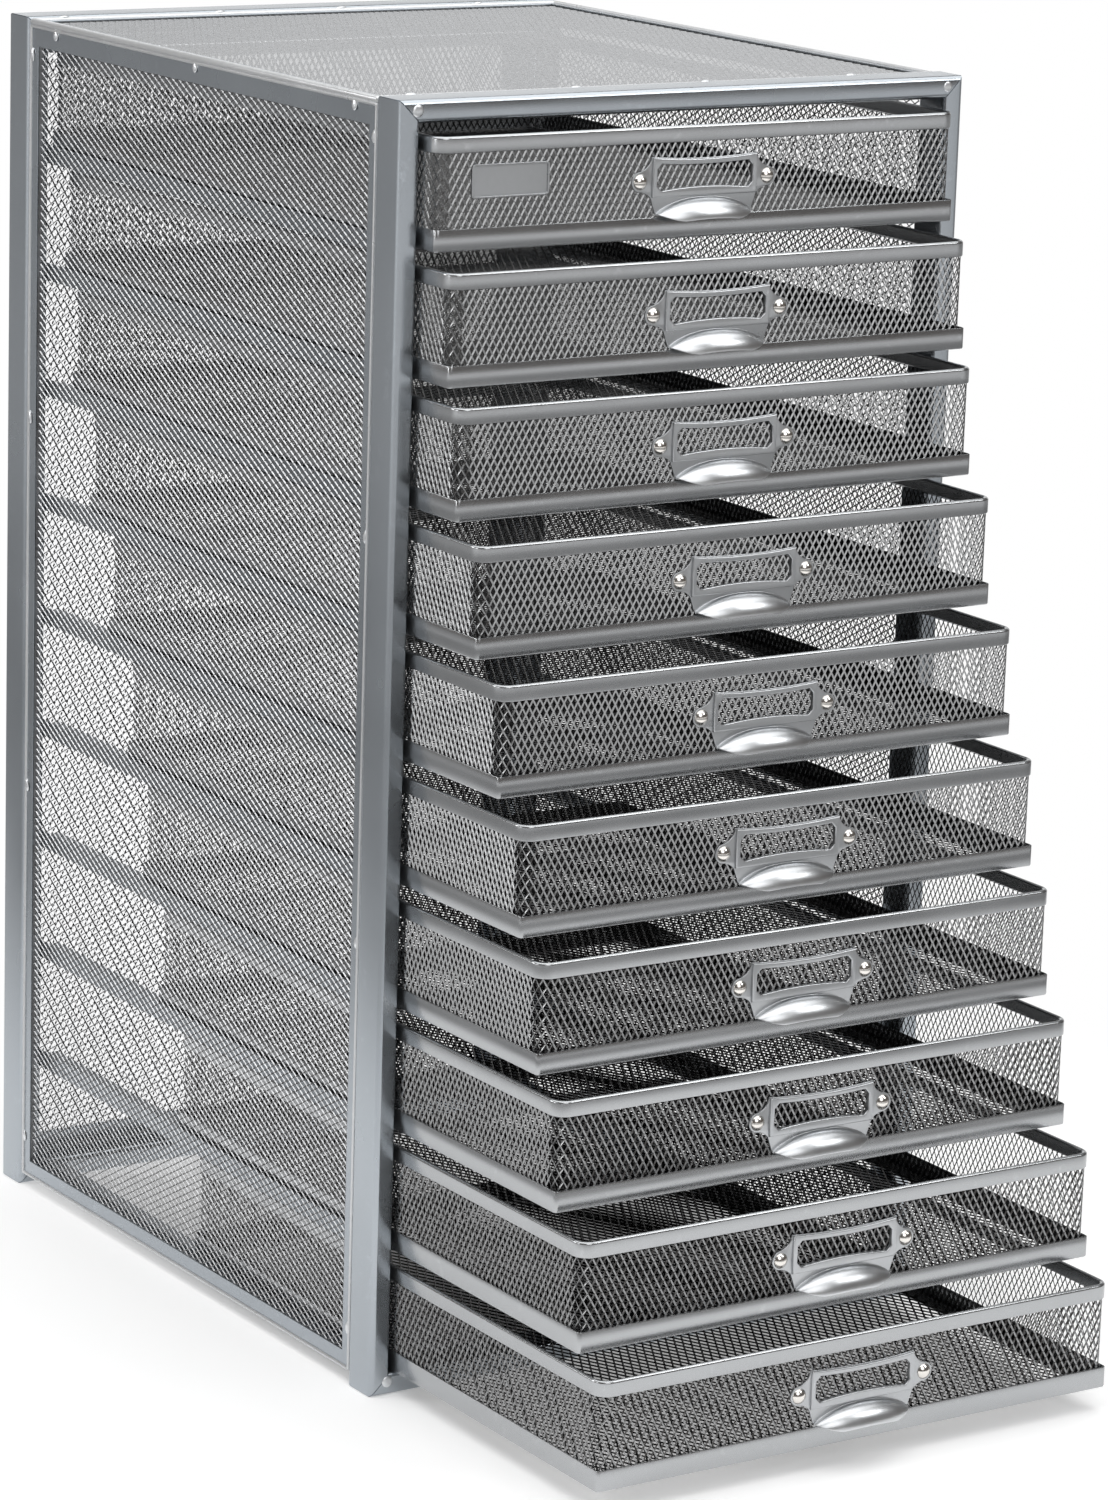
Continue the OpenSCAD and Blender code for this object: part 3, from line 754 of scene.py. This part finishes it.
def plate_outline(s):
    """The plate, from its lower right corner round its two ears."""
    ear = Vector((s.rivet_span / 2, s.rivet_z))
    low = Vector((s.label_w / 2, s.label_z))
    high = Vector((s.label_w / 2, s.label_z + s.label_h - 0.8 * MM))
    c_low = hollow_centre(ear, low, s.ear, s.hollow)
    c_high = hollow_centre(ear, high, s.ear, s.hollow)
    t_low = ear + (c_low - ear).normalized() * s.ear
    t_high = ear + (c_high - ear).normalized() * s.ear
    side = [Vector((s.foot_w / 2, s.foot_z))]
    side += arc_between(c_low, low, t_low, 12)
    side += arc_between(ear, t_low, t_high, 20)[1:-1]
    side += arc_between(c_high, t_high, high, 12)
    return (side + bow_points(s.label_w / 2, s.label_z + s.label_h, -s.bow)
            + [Vector((-p.x, p.y)) for p in reversed(side)])


def frame_outline(s, inset):
    """The raised frame's outer edge, its top bowed."""
    half = s.label_w / 2 - inset
    bottom = s.label_z + inset
    return [Vector((-half, bottom)), Vector((half, bottom))] + \
        bow_points(half, s.label_z + s.label_h - inset, -s.bow)


def window_outline(s):
    """The window, with cut corners and both long edges bowed."""
    half = s.label_w / 2 - s.side_bar
    low = s.label_z + s.rail
    high = s.label_z + s.label_h - s.rail
    cut = s.window_cut
    return ([Vector((half, low + cut)), Vector((half, high - cut))]
            + bow_points(half - cut, high, -s.bow * 0.6)
            + [Vector((-half, high - cut)), Vector((-half, low + cut))]
            + bow_points(cut - half, low, s.bow))


def stamped(outlines, thickness, edge, steps=2):
    """A flat piece cut from closed outlines, its inner ones as holes, with rounded edges. It
    stands on z = 0."""
    curve = bpy.data.curves.new("stamped", "CURVE")
    curve.dimensions = "2D"
    curve.fill_mode = "BOTH"
    curve.extrude = thickness / 2 - edge
    curve.bevel_depth = edge
    curve.bevel_resolution = steps
    curve.offset = -edge
    for outline in outlines:
        spline = curve.splines.new("POLY")
        spline.points.add(len(outline) - 1)
        spline.use_cyclic_u = True
        for point, place in zip(spline.points, outline):
            point.co = (*place[:2], 0, 1)
    mesh = baked(bpy.data.objects.new("stamped", curve))
    mesh.transform(Matrix.Translation((0, 0, thickness / 2)))
    bm = bmesh.new()
    bm.from_mesh(mesh)
    return finish_mesh("stamped", bm)


def cup_radius(s, x):
    """How far the cup stands out, and up, at that distance from its middle."""
    return s.cup_out * (1 - abs(x / s.cup_half) ** 2.3) ** 0.78


def cup_lip(s, x):
    """Height of the cup's lip over its axis at that distance from its middle."""
    if abs(x) < s.lip:
        return s.lip_rise * (1 - (x / s.lip) ** 2)
    return s.tip_rise * ((abs(x) - s.lip) / (s.cup_keep - s.lip)) ** 1.7


def cup_places(s, steps):
    """Places across the cup, closer together towards its tips."""
    return [s.cup_keep * sin(pi / 2 * (2 * i / steps - 1)) for i in range(steps + 1)]


def finger_cup(s):
    """The cup: a quarter of a hollow spindle over the plate, cut to its lip."""
    around = 16
    bm = bmesh.new()
    grid = []
    for x in cup_places(s, 64):
        radius = cup_radius(s, x)
        start = asin(min(0.97, cup_lip(s, x) / radius))
        angles = [start + (pi / 2 - start) * j / around for j in range(around + 1)]
        grid.append([bm.verts.new((x, s.cup_z + radius * sin(angle), radius * cos(angle)))
                     for angle in angles])
    for first, second in zip(grid, grid[1:]):
        for j in range(around):
            bm.faces.new((first[j], second[j], second[j + 1], first[j + 1]))
    holder = bpy.data.objects.new("finger_cup", plain_mesh("finger_cup", bm))
    wall = holder.modifiers.new("wall", "SOLIDIFY")
    wall.thickness = s.cup_wall
    wall.offset = -1.0
    edge = holder.modifiers.new("edge", "BEVEL")
    edge.width = 0.22 * MM
    edge.segments = 2
    edge.limit_method = "ANGLE"
    edge.angle_limit = radians(50)
    bm = bmesh.new()
    bm.from_mesh(baked(holder))
    return finish_mesh("finger_cup", bm, radians(50))


def cup_edge(s):
    """The rounded edge that runs along the cup's arc, where it meets the plate."""
    around = 8
    near = 0.05 * MM
    loops = []
    for x in cup_places(s, 48):
        slope = (cup_radius(s, x + near) - cup_radius(s, x - near)) / (2 * near)
        normal = Vector((-slope, 1, 0)).normalized()
        centre = Vector((x, s.cup_z + cup_radius(s, x), 0.12 * MM)) - normal * s.cup_bead * 0.3
        taper = min(1.0, 0.35 + 6 * (1 - abs(x) / s.cup_keep))
        loops.append([centre + s.cup_bead * taper * (c * normal + Vector((0, 0, d)))
                      for c, d, _ in circle(1.0, 0.0, around)])
    return skinned("cup_edge", loops, sharp=radians(70))


def rivet_dome(s):
    """One domed head, standing on z = 0."""
    around = 32
    rise = 8
    big = ((s.rivet_d / 2) ** 2 + s.rivet_h ** 2) / (2 * s.rivet_h)
    reach = asin(s.rivet_d / 2 / big)
    loops = [circle(s.rivet_d / 2, -0.2 * MM, around)]
    for step in range(rise + 1):
        angle = reach * (1 - step / rise)
        loops.append(circle(big * sin(angle), s.rivet_h - big + big * cos(angle), around))
    return skinned("rivet_dome", loops)


def pull_matrix(body):
    """Takes a shape drawn as (x, height, outwards) to the front of a drawer's label plate."""
    front = drawer_place(body)[0]
    scene = bpy.context.scene
    y = front.y + scene.drawer_sizes.proud - 0.02 * MM - scene.pull_sizes.plate
    return Matrix.Translation((front.x, y, front.z)) @ Matrix.Rotation(radians(90), 4, "X")


# ---------- operators ----------

def dress(target, material):
    """Gives a CAD node its finish."""
    for slot in target.material_slots:
        slot.link = "OBJECT"
        slot.material = material
    if not target.material_slots:
        target.data.materials.append(material)


class DRAWERS_OT_frames(bpy.types.Operator):
    """Finish the two tube frames and the runners"""
    bl_idname = "drawers.frames"
    bl_label = "Frames and runners"

    def execute(self, context):
        for node in ("front_frame", "rear_frame"):
            tubes = mitred_tubes(*corners(node), context.scene.frame_sizes)
            place_piece(node + "_tubes", tubes, Matrix(), "frame", CABINET, "frame_steel", node)
        for node in ("left_runners", "right_runners"):
            dress(frame["nodes"][node], MATERIALS["runner"])
        return {"FINISHED"}


def edging(part, width, height, border, sizes, side):
    """The flat border round a panel, or the rounded bead on its edge with the fold behind."""
    if part == "border":
        ease = 0.25 * MM
        shoulder = tuple(inset - ease for inset in border)
        start = sizes.roll if side == "top" else sizes.bead / 2
        section = [(start, 0), (shoulder, 0), (border, -ease), (border, -sizes.sheet),
                   (start, -sizes.sheet)]
    elif side == "top":
        reach = sizes.roll
        section = [(reach - reach * cos(radians(a)),
                    sizes.bead_rise - reach + reach * sin(radians(a)))
                   for a in range(0, 360, 15)]
    else:
        half = sizes.bead / 2
        foot = -sizes.sheet - (sizes.fold if side in ("left", "right") else sizes.sheet * 2)
        arch = [(half - half * cos(radians(a)), sizes.bead_rise * sin(radians(a)))
                for a in range(0, 181, 15)]
        section = [(0.15 * MM, foot)] + arch + [(sizes.bead, foot)]
    return ring("edging", width, height, 1.2 * MM, section, 3)


class DRAWERS_OT_panels(bpy.types.Operator):
    """Make the four mesh panels with their beaded borders"""
    bl_idname = "drawers.panels"
    bl_label = "Panels"

    def execute(self, context):
        sizes = context.scene.panel_sizes
        mesh_sizes = context.scene.mesh_sizes
        tree = flat_mesh_tree(MATERIALS["strand"])
        plain = (sizes.border,) * 4
        tall = plain[:2] + (sizes.foot, sizes.head)
        wide = (sizes.back_border,) * 4
        z_up = Vector((0, 0, 1))
        upright = Matrix()
        lying = Matrix.Rotation(radians(90), 4, "Z") @ Matrix.Scale(-1, 4, (1, 0, 0))
        for name, border, out, up, turn, slim in (
                ("left", tall, Vector((-1, 0, 0)), z_up, lying, 0.85),
                ("right", tall, Vector((1, 0, 0)), z_up, lying, 0.85),
                ("top", plain, z_up, Vector((0, 1, 0)), upright, 0.8),
                ("back", wide, Vector((0, 1, 0)), z_up, upright, 1.0)):
            node = name + "_panel"
            low, high = corners(node)
            size = high - low
            across = up.cross(out)
            width = abs(size.dot(across))
            height = size.dot(up)
            face = (low + high) / 2 + out * (abs(size.dot(out)) / 2 - sizes.bead_rise)
            place = Matrix.Translation(face) @ Matrix((across, up, out)).transposed().to_4x4()
            # The bead takes the bead material, whose lighter colour is a painted highlight along the
            # edge.
            for finish in ("border", "bead"):
                rim = edging(finish, width, height, border, sizes, name)
                place_piece(node + "_" + finish, rim, place,
                            "panel" if finish == "border" else finish, CABINET, "panel_steel",
                            node)
            left, right, foot, head = border
            spans = (width - left - right, height - foot - head)
            behind = Matrix.Translation(((left - right) / 2, (foot - head) / 2,
                                         -sizes.sheet - mesh_sizes.lift - 0.02 * MM))
            if turn is lying:
                spans = spans[::-1]
            sheet = flat_mesh(tree, mesh_sizes, (mesh_sizes.short_way, mesh_sizes.long_way),
                              *spans, sizes.lap, slim)
            centre = turn @ Matrix.Translation((-spans[0] / 2, -spans[1] / 2, 0))
            place_piece(node + "_mesh", sheet, place @ behind @ centre, None, CABINET,
                        "panel_steel", node)
        return {"FINISHED"}


def grow_welds(name, points, dot, seed):
    """Makes one piece of all the dots: a small face at each point gives a dot its direction."""
    bm = bmesh.new()
    for place, direction in points:
        normal = Vector(direction).normalized()
        first = normal.orthogonal().normalized() * 1e-6
        second = normal.cross(first)
        bm.faces.new([bm.verts.new(Vector(place) + first * cos(a) + second * sin(a))
                      for a in (0, 2 * pi / 3, 4 * pi / 3)])
    holder = bpy.data.objects.new("dot", dot)
    bpy.context.scene.collection.objects.link(holder)
    mesh = grown_mesh(plain_mesh("points", bm), weld_tree(MATERIALS["weld"]),
                      {"Dot": holder, "Seed": seed})
    bpy.data.objects.remove(holder)
    bm = bmesh.new()
    bm.from_mesh(mesh)
    place_piece(name, finish_mesh(name, bm, radians(60)), Matrix(), "weld", CABINET,
                "frame_steel")


class DRAWERS_OT_welds(bpy.types.Operator):
    """Put the weld dots along the panels' beads and on the frames' mitres"""
    bl_idname = "drawers.welds"
    bl_label = "Weld dots"

    def execute(self, context):
        sizes = context.scene.panel_sizes
        low, high = corners("left_panel")
        right = corners("right_panel")[1].x
        top_low, top_high = corners("top_panel")
        depth, height = high.y - low.y, high.z - low.z

        # Side panels: three dots along the top edge, and four up each end, by their share of it.
        sunk, drop, inward = 0.8 * MM, 2.0 * MM, 1.75 * MM
        points = []
        for x, out in ((low.x + sunk, -1), (right - sunk, 1)):
            points += [((x, low.y + depth * share, high.z - drop), (out, 0, 0.2))
                       for share in (0.06, 0.5, 0.92)]
            points += [((x, y - back * inward, low.z + height * share), (out, back * 0.175, 0))
                       for share in (0.035, 0.35, 0.67, 0.975)
                       for y, back in ((low.y, -1), (high.y, 1))]

        # Top panel: four dots along its front and back edges.
        sunk, inset = 0.5 * MM, 0.6 * MM
        points += [((x, y, top_high.z - sunk), (0, back, 1))
                   for x in (-0.128, -0.045, 0.022, 0.1)
                   for y, back in ((top_low.y + inset, -0.4), (top_high.y - inset, 0.4))]
        grow_welds("panel_welds", points, weld_dot_mesh(sizes.weld, 0.9 * MM, 1.7), 3)

        # Frames: a bead across each mitre, a little off its middle.
        side, foot, head = 8.6 * MM, 6.2 * MM, 4.6 * MM
        points = []
        for node, out in (("front_frame", -1), ("rear_frame", 1)):
            low, high = corners(node)
            y = low.y if out < 0 else high.y
            points += [((x, y, z), (0, out, 0)) for x in (low.x + side, high.x - side)
                       for z in (low.z + foot, high.z - head)]
        grow_welds("frame_welds", points, weld_dot_mesh(5 * MM, 0.5 * MM), 5)
        return {"FINISHED"}


class DRAWERS_OT_trays(bpy.types.Operator):
    """Bend the mesh trays of the drawers and lay their floors"""
    bl_idname = "drawers.trays"
    bl_label = "Mesh trays"

    def execute(self, context):
        mesh_sizes = context.scene.mesh_sizes
        drawer = context.scene.drawer_sizes
        width, depth, height = drawer_place(DRAWERS[0])[1]
        inset = drawer.proud + mesh_sizes.lift
        path_w = width - 2 * inset
        path_d = depth - 2 * inset
        corner = drawer.rim_corner - inset
        around = 2 * (path_w + path_d) - 8 * corner + 2 * pi * corner
        columns = round(around / mesh_sizes.short_way / 2)
        bottom = drawer.band_t + 0.2 * MM
        top = height - 1.1 * MM
        rows = floor((top - bottom) / mesh_sizes.long_way)
        rise = (top - bottom) / (rows + 0.5)
        step = around / columns / 2
        cell = lattice_cell(mesh_sizes, step, rise)
        walls = grown_mesh(cell, wall_mesh_tree(MATERIALS["tray"]), {
            "Columns": columns + 1, "Rows": rows, "Short way": step, "Long way": rise,
            "Path width": path_w, "Path depth": path_d, "Corner": corner})
        walls.transform(Matrix.Translation((0, depth / 2, bottom)))
        gap = inset + mesh_sizes.gauge
        # The floor wears the near-black tray floor material, painted shade for the drawer's dark
        # inside.
        bed = flat_mesh(flat_mesh_tree(MATERIALS["bed"]), mesh_sizes,
                        (mesh_sizes.floor_short_way, mesh_sizes.floor_long_way),
                        width - 2 * gap, depth - 2 * gap, slim=1.25)
        bed.transform(Matrix.Translation((gap - width / 2, gap, drawer.band_t + 0.3 * MM)))
        place_in_drawers(lambda body: Matrix.Translation(drawer_place(body)[0]),
                         ("mesh_walls_", walls, None, "mesh_steel", "tray_"),
                         ("mesh_floor_", bed, None, "mesh_steel", "tray_"))
        return {"FINISHED"}


def rim_section(sizes, height):
    """The rolled rim: a flat outer face, a round top and a sheet turned in under it."""
    t = sizes.rim_t
    r = t / 2
    foot = height - sizes.rim
    roll = [(r - r * cos(radians(a)), height - r + r * sin(radians(a)))
            for a in range(0, 181, 15)]
    return [(0.0, foot + 0.5 * MM)] + roll + [
        (t, foot + 1.2 * MM), (t - 0.3 * MM, foot + 0.9 * MM), (0.7 * MM, foot),
        (0.25 * MM, foot), (0.07 * MM, foot + 0.15 * MM)]


def band_section(sizes):
    """The bottom band with its eased lip, and the flange turned in under the drawer."""
    t = sizes.band_t
    lip = sizes.band
    return [(0.0, 0.7 * MM), (0.0, lip - 0.3 * MM), (0.1 * MM, lip - 0.08 * MM),
            (0.3 * MM, lip), (t - 0.15 * MM, lip), (t, lip - 0.15 * MM), (t, t),
            (sizes.flange, t), (sizes.flange, 0.0), (0.7 * MM, 0.0), (0.2 * MM, 0.2 * MM)]


class DRAWERS_OT_rims(bpy.types.Operator):
    """Roll the drawers' top rims and bottom bands"""
    bl_idname = "drawers.rims"
    bl_label = "Rims and bands"

    def execute(self, context):
        sizes = context.scene.drawer_sizes
        width, depth, height = drawer_place(DRAWERS[0])[1]
        rim = ring("top_rim", width, depth, sizes.rim_corner, rim_section(sizes, height), 10)
        band = ring("bottom_band", width, depth, sizes.band_corner, band_section(sizes), 5)
        middle = Vector((0, depth / 2, 0))
        place_in_drawers(lambda body: Matrix.Translation(drawer_place(body)[0] + middle),
                         ("rolled_rim_", rim, "rim", "rim_steel", "top_rim_"),
                         ("folded_band_", band, "rim", "rim_steel", "bottom_rim_"))
        return {"FINISHED"}


class DRAWERS_OT_pulls(bpy.types.Operator):
    """Stamp the label pulls and set their rivets"""
    bl_idname = "drawers.pulls"
    bl_label = "Label pulls and rivets"

    def execute(self, context):
        s = context.scene.pull_sizes
        root = 0.7 * MM
        plate = stamped([plate_outline(s), window_outline(s)], s.plate, 0.3 * MM)
        plate.transform(Matrix.Translation((0, 0, -s.plate)))
        raised = stamped([frame_outline(s, 0.3 * MM), window_outline(s)], s.rise + root,
                         0.6 * MM, 4)
        raised.transform(Matrix.Translation((0, 0, -root)))
        pull = joined("label_pull", plate, raised)
        cup = joined("finger_cup", finger_cup(s), cup_edge(s))
        dome = rivet_dome(s)
        domes = joined("rivet_pair", *(
            moved("dome", dome, Matrix.Translation((x * s.rivet_span / 2, s.rivet_z, 0.02 * MM)))
            for x in (-1, 1)))
        place_in_drawers(pull_matrix,
                         ("label_holder_", pull, "pull", "pull_steel", "label_pull_"),
                         ("finger_cup_", cup, "cup", "pull_steel", "label_pull_"),
                         ("domed_rivets_", domes, "chrome", "rivet_chrome", "rivets_"))
        return {"FINISHED"}


class DRAWERS_OT_plate(bpy.types.Operator):
    """Fix the bare plate on the top drawer"""
    bl_idname = "drawers.plate"
    bl_label = "Bare plate"

    def execute(self, context):
        sizes = context.scene.plate_sizes
        outline = rounded_loop(sizes.width, sizes.height, sizes.corner, 5)
        inner = rounded_loop(sizes.width - 2 * sizes.rim, sizes.height - 2 * sizes.rim,
                             sizes.corner - sizes.rim / 2, 5)
        rim_rise = 0.5 * MM
        plate = joined("bare_plate", stamped([outline], sizes.gauge, 0.2 * MM),
                       stamped([outline, inner], sizes.gauge + rim_rise, 0.25 * MM, 3))
        place = pull_matrix(DRAWERS[0]) @ Matrix.Translation(
            (sizes.x, sizes.z, -context.scene.pull_sizes.plate))
        place_piece("bare_plate", plate, place, "plate", DRAWERS[0], "pull_steel")
        return {"FINISHED"}


def seen_depth(spot):
    """How far a place or a direction lies behind the origin, as the camera sees it."""
    return spot * sin(VIEW_TURN) + spot.out("Y") * cos(VIEW_TURN)


def make_floor(scene):
    """Paper, white round the cabinet and far off, and darker between for the steel to mirror.
    Behind the cabinet it runs up into a white wall."""
    half = 12.0
    mesh = bpy.data.meshes.new("studio_floor")
    mesh.from_pydata([(x * half, y * half, -0.05 * MM)
                      for x, y in ((-1, -1), (1, -1), (1, 1), (-1, 1))], [], [(0, 1, 2, 3)])
    plane = bpy.data.objects.new("studio_floor", mesh)
    scene.collection.objects.link(plane)
    material, graph, place = shader("floor_paper")
    spot = graph.add("ShaderNodeSeparateXYZ", None, place)
    behind = seen_depth(spot)
    aside = abs(spot * cos(VIEW_TURN) - spot.out("Y") * sin(VIEW_TURN))
    beyond = graph.fade(behind, 0.0, 0.6)
    within = graph.fade(aside - behind * 0.11, 0.35, 0.95, 1.0, 0.0)
    reach = (behind * behind + aside * aside) ** 0.5

    # Nothing under the cabinet, and up to one at its edge.
    foot = corners("front_frame")[0]
    back = corners("rear_frame")[1]
    off_side = abs(spot - (foot.x + back.x) / 2) - (back.x - foot.x) / 2
    off_end = abs(spot.out("Y") - (foot.y + back.y) / 2) - (back.y - foot.y) / 2
    clear = graph.fade(graph.math("MAXIMUM", off_side, off_end), -0.04, 0.0)

    # A glow lifts the paper to white close round the cabinet, and again far off.
    near = graph.fade(reach, 0.45, 0.9, 0.27, 0.0) * clear
    far = graph.fade(reach, 1.7, 2.5) * graph.fade(behind, -1.6, 1.2, 0.90, 0.30)
    tone = graph.mix(graph.fade(reach, 0.45, 0.95), scene.finishes.floor,
                     scaled(scene.finishes.floor, 0.36))
    seen = seen_rays(graph)
    paper = graph.add("ShaderNodeBsdfDiffuse", None, Color=tone)
    lift = graph.add("ShaderNodeEmission", None, Color=WHITE, Strength=(near + far) * seen)
    lit = graph.add("ShaderNodeAddShader", None, paper, lift)
    glow = graph.add("ShaderNodeEmission", None, Color=WHITE, Strength=1.0)
    graph.add("ShaderNodeOutputMaterial", None,
              graph.add("ShaderNodeMixShader", None, beyond * within * seen, lit, glow))
    mesh.materials.append(material)


def seen_rays(graph):
    """One for a ray that shows the studio: straight, mirrored or through glass."""
    rays = graph.add("ShaderNodeLightPath")
    shown = graph.math("MAXIMUM", rays.out("Is Camera Ray"), rays.out("Is Glossy Ray"))
    return graph.math("MAXIMUM", shown, rays.out("Is Transmission Ray"))


def make_world(scene):
    """A dim studio with a white wall behind the cabinet, the same for every kind of ray."""
    world = bpy.data.worlds.new("studio")
    scene.world = world
    world.use_nodes = True
    world.node_tree.nodes.clear()
    graph = Graph(world.node_tree)
    towards = graph.add("ShaderNodeSeparateXYZ", None,
                        graph.add("ShaderNodeTexCoord").out("Generated"))
    up = towards.out("Z")
    wall = graph.fade(seen_depth(towards), 0.70, 0.93) * graph.fade(up, 0.28, 0.45, 1.0, 0.0)
    room = graph.add("ShaderNodeValToRGB", {"stops": ROOM_TONES}, up)
    sky = graph.add("ShaderNodeBackground", None, Color=graph.mix(wall, room, WHITE[:3]),
                    Strength=1.0)
    graph.add("ShaderNodeOutputWorld", None, sky)


def make_lamp(scene, name, place, target, size, radiance):
    """Adds a round soft box of that width, as bright as that many white walls."""
    light = bpy.data.lights.new(name, "AREA")
    light.shape = "DISK"
    light.size = size
    light.energy = radiance * pi * pi * (size / 2) ** 2
    holder = bpy.data.objects.new(name, light)
    scene.collection.objects.link(holder)
    holder.location = place
    ray = Vector(target) - Vector(place)
    holder.rotation_euler = ray.to_track_quat("-Z", "Y").to_euler()


def make_camera(scene):
    """A long lens from the front left and a little above."""
    ahead = Vector((sin(VIEW_TURN) * cos(VIEW_TILT), cos(VIEW_TURN) * cos(VIEW_TILT),
                    -sin(VIEW_TILT)))
    right = ahead.cross(Vector((0, 0, 1))).normalized()
    up = right.cross(ahead)
    level_right = right * cos(VIEW_ROLL) + up * sin(VIEW_ROLL)
    level_up = up * cos(VIEW_ROLL) - right * sin(VIEW_ROLL)
    lens = bpy.data.cameras.new("camera")
    lens.sensor_fit = "VERTICAL"
    lens.sensor_height = SENSOR_HEIGHT
    lens.lens = LENS
    lens.clip_end = 50
    holder = bpy.data.objects.new("camera", lens)
    scene.collection.objects.link(holder)
    matrix = Matrix((level_right, level_up, -ahead)).transposed().to_4x4()
    matrix.translation = VIEW_PLACE
    holder.matrix_world = matrix
    scene.camera = holder


class DRAWERS_OT_stage(bpy.types.Operator):
    """Set the floor, the light and the camera"""
    bl_idname = "drawers.stage"
    bl_label = "Stage"

    def execute(self, context):
        scene = context.scene
        make_floor(scene)
        make_world(scene)
        for name, lamp in LAMPS.items():
            make_lamp(scene, name, *lamp)
        make_camera(scene)
        scene.view_settings.view_transform = "Standard"
        return {"FINISHED"}


class DRAWERS_PT_panel(bpy.types.Panel):
    """The cabinet's pieces, one button each"""
    bl_label = "Mesh desk drawers"
    bl_idname = "DRAWERS_PT_panel"
    bl_space_type = "VIEW_3D"
    bl_region_type = "UI"
    bl_category = "Drawers"

    def draw(self, context):
        for operator in OPERATORS:
            self.layout.operator(operator.bl_idname)


SETTINGS = {
    "frame_sizes": FrameSizes,
    "mesh_sizes": MeshSizes,
    "panel_sizes": PanelSizes,
    "drawer_sizes": DrawerSizes,
    "pull_sizes": PullSizes,
    "plate_sizes": PlateSizes,
    "finishes": Finishes,
}
OPERATORS = [DRAWERS_OT_stage, DRAWERS_OT_frames, DRAWERS_OT_panels, DRAWERS_OT_welds,
             DRAWERS_OT_trays, DRAWERS_OT_rims, DRAWERS_OT_pulls, DRAWERS_OT_plate]


def register():
    for group in SETTINGS.values():
        bpy.utils.register_class(group)
    for name, group in SETTINGS.items():
        setattr(bpy.types.Scene, name, PointerProperty(type=group))
    for operator in OPERATORS:
        bpy.utils.register_class(operator)
    bpy.utils.register_class(DRAWERS_PT_panel)


def unregister():
    bpy.utils.unregister_class(DRAWERS_PT_panel)
    for operator in reversed(OPERATORS):
        bpy.utils.unregister_class(operator)
    for name, group in reversed(SETTINGS.items()):
        delattr(bpy.types.Scene, name)
        bpy.utils.unregister_class(group)


def main():
    register()
    MATERIALS.update(make_materials(bpy.context.scene.finishes))
    bpy.ops.drawers.stage()
    bpy.ops.drawers.frames()
    bpy.ops.drawers.panels()
    bpy.ops.drawers.welds()
    bpy.ops.drawers.trays()
    bpy.ops.drawers.rims()
    bpy.ops.drawers.pulls()
    bpy.ops.drawers.plate()


if __name__ == "__main__":
    main()
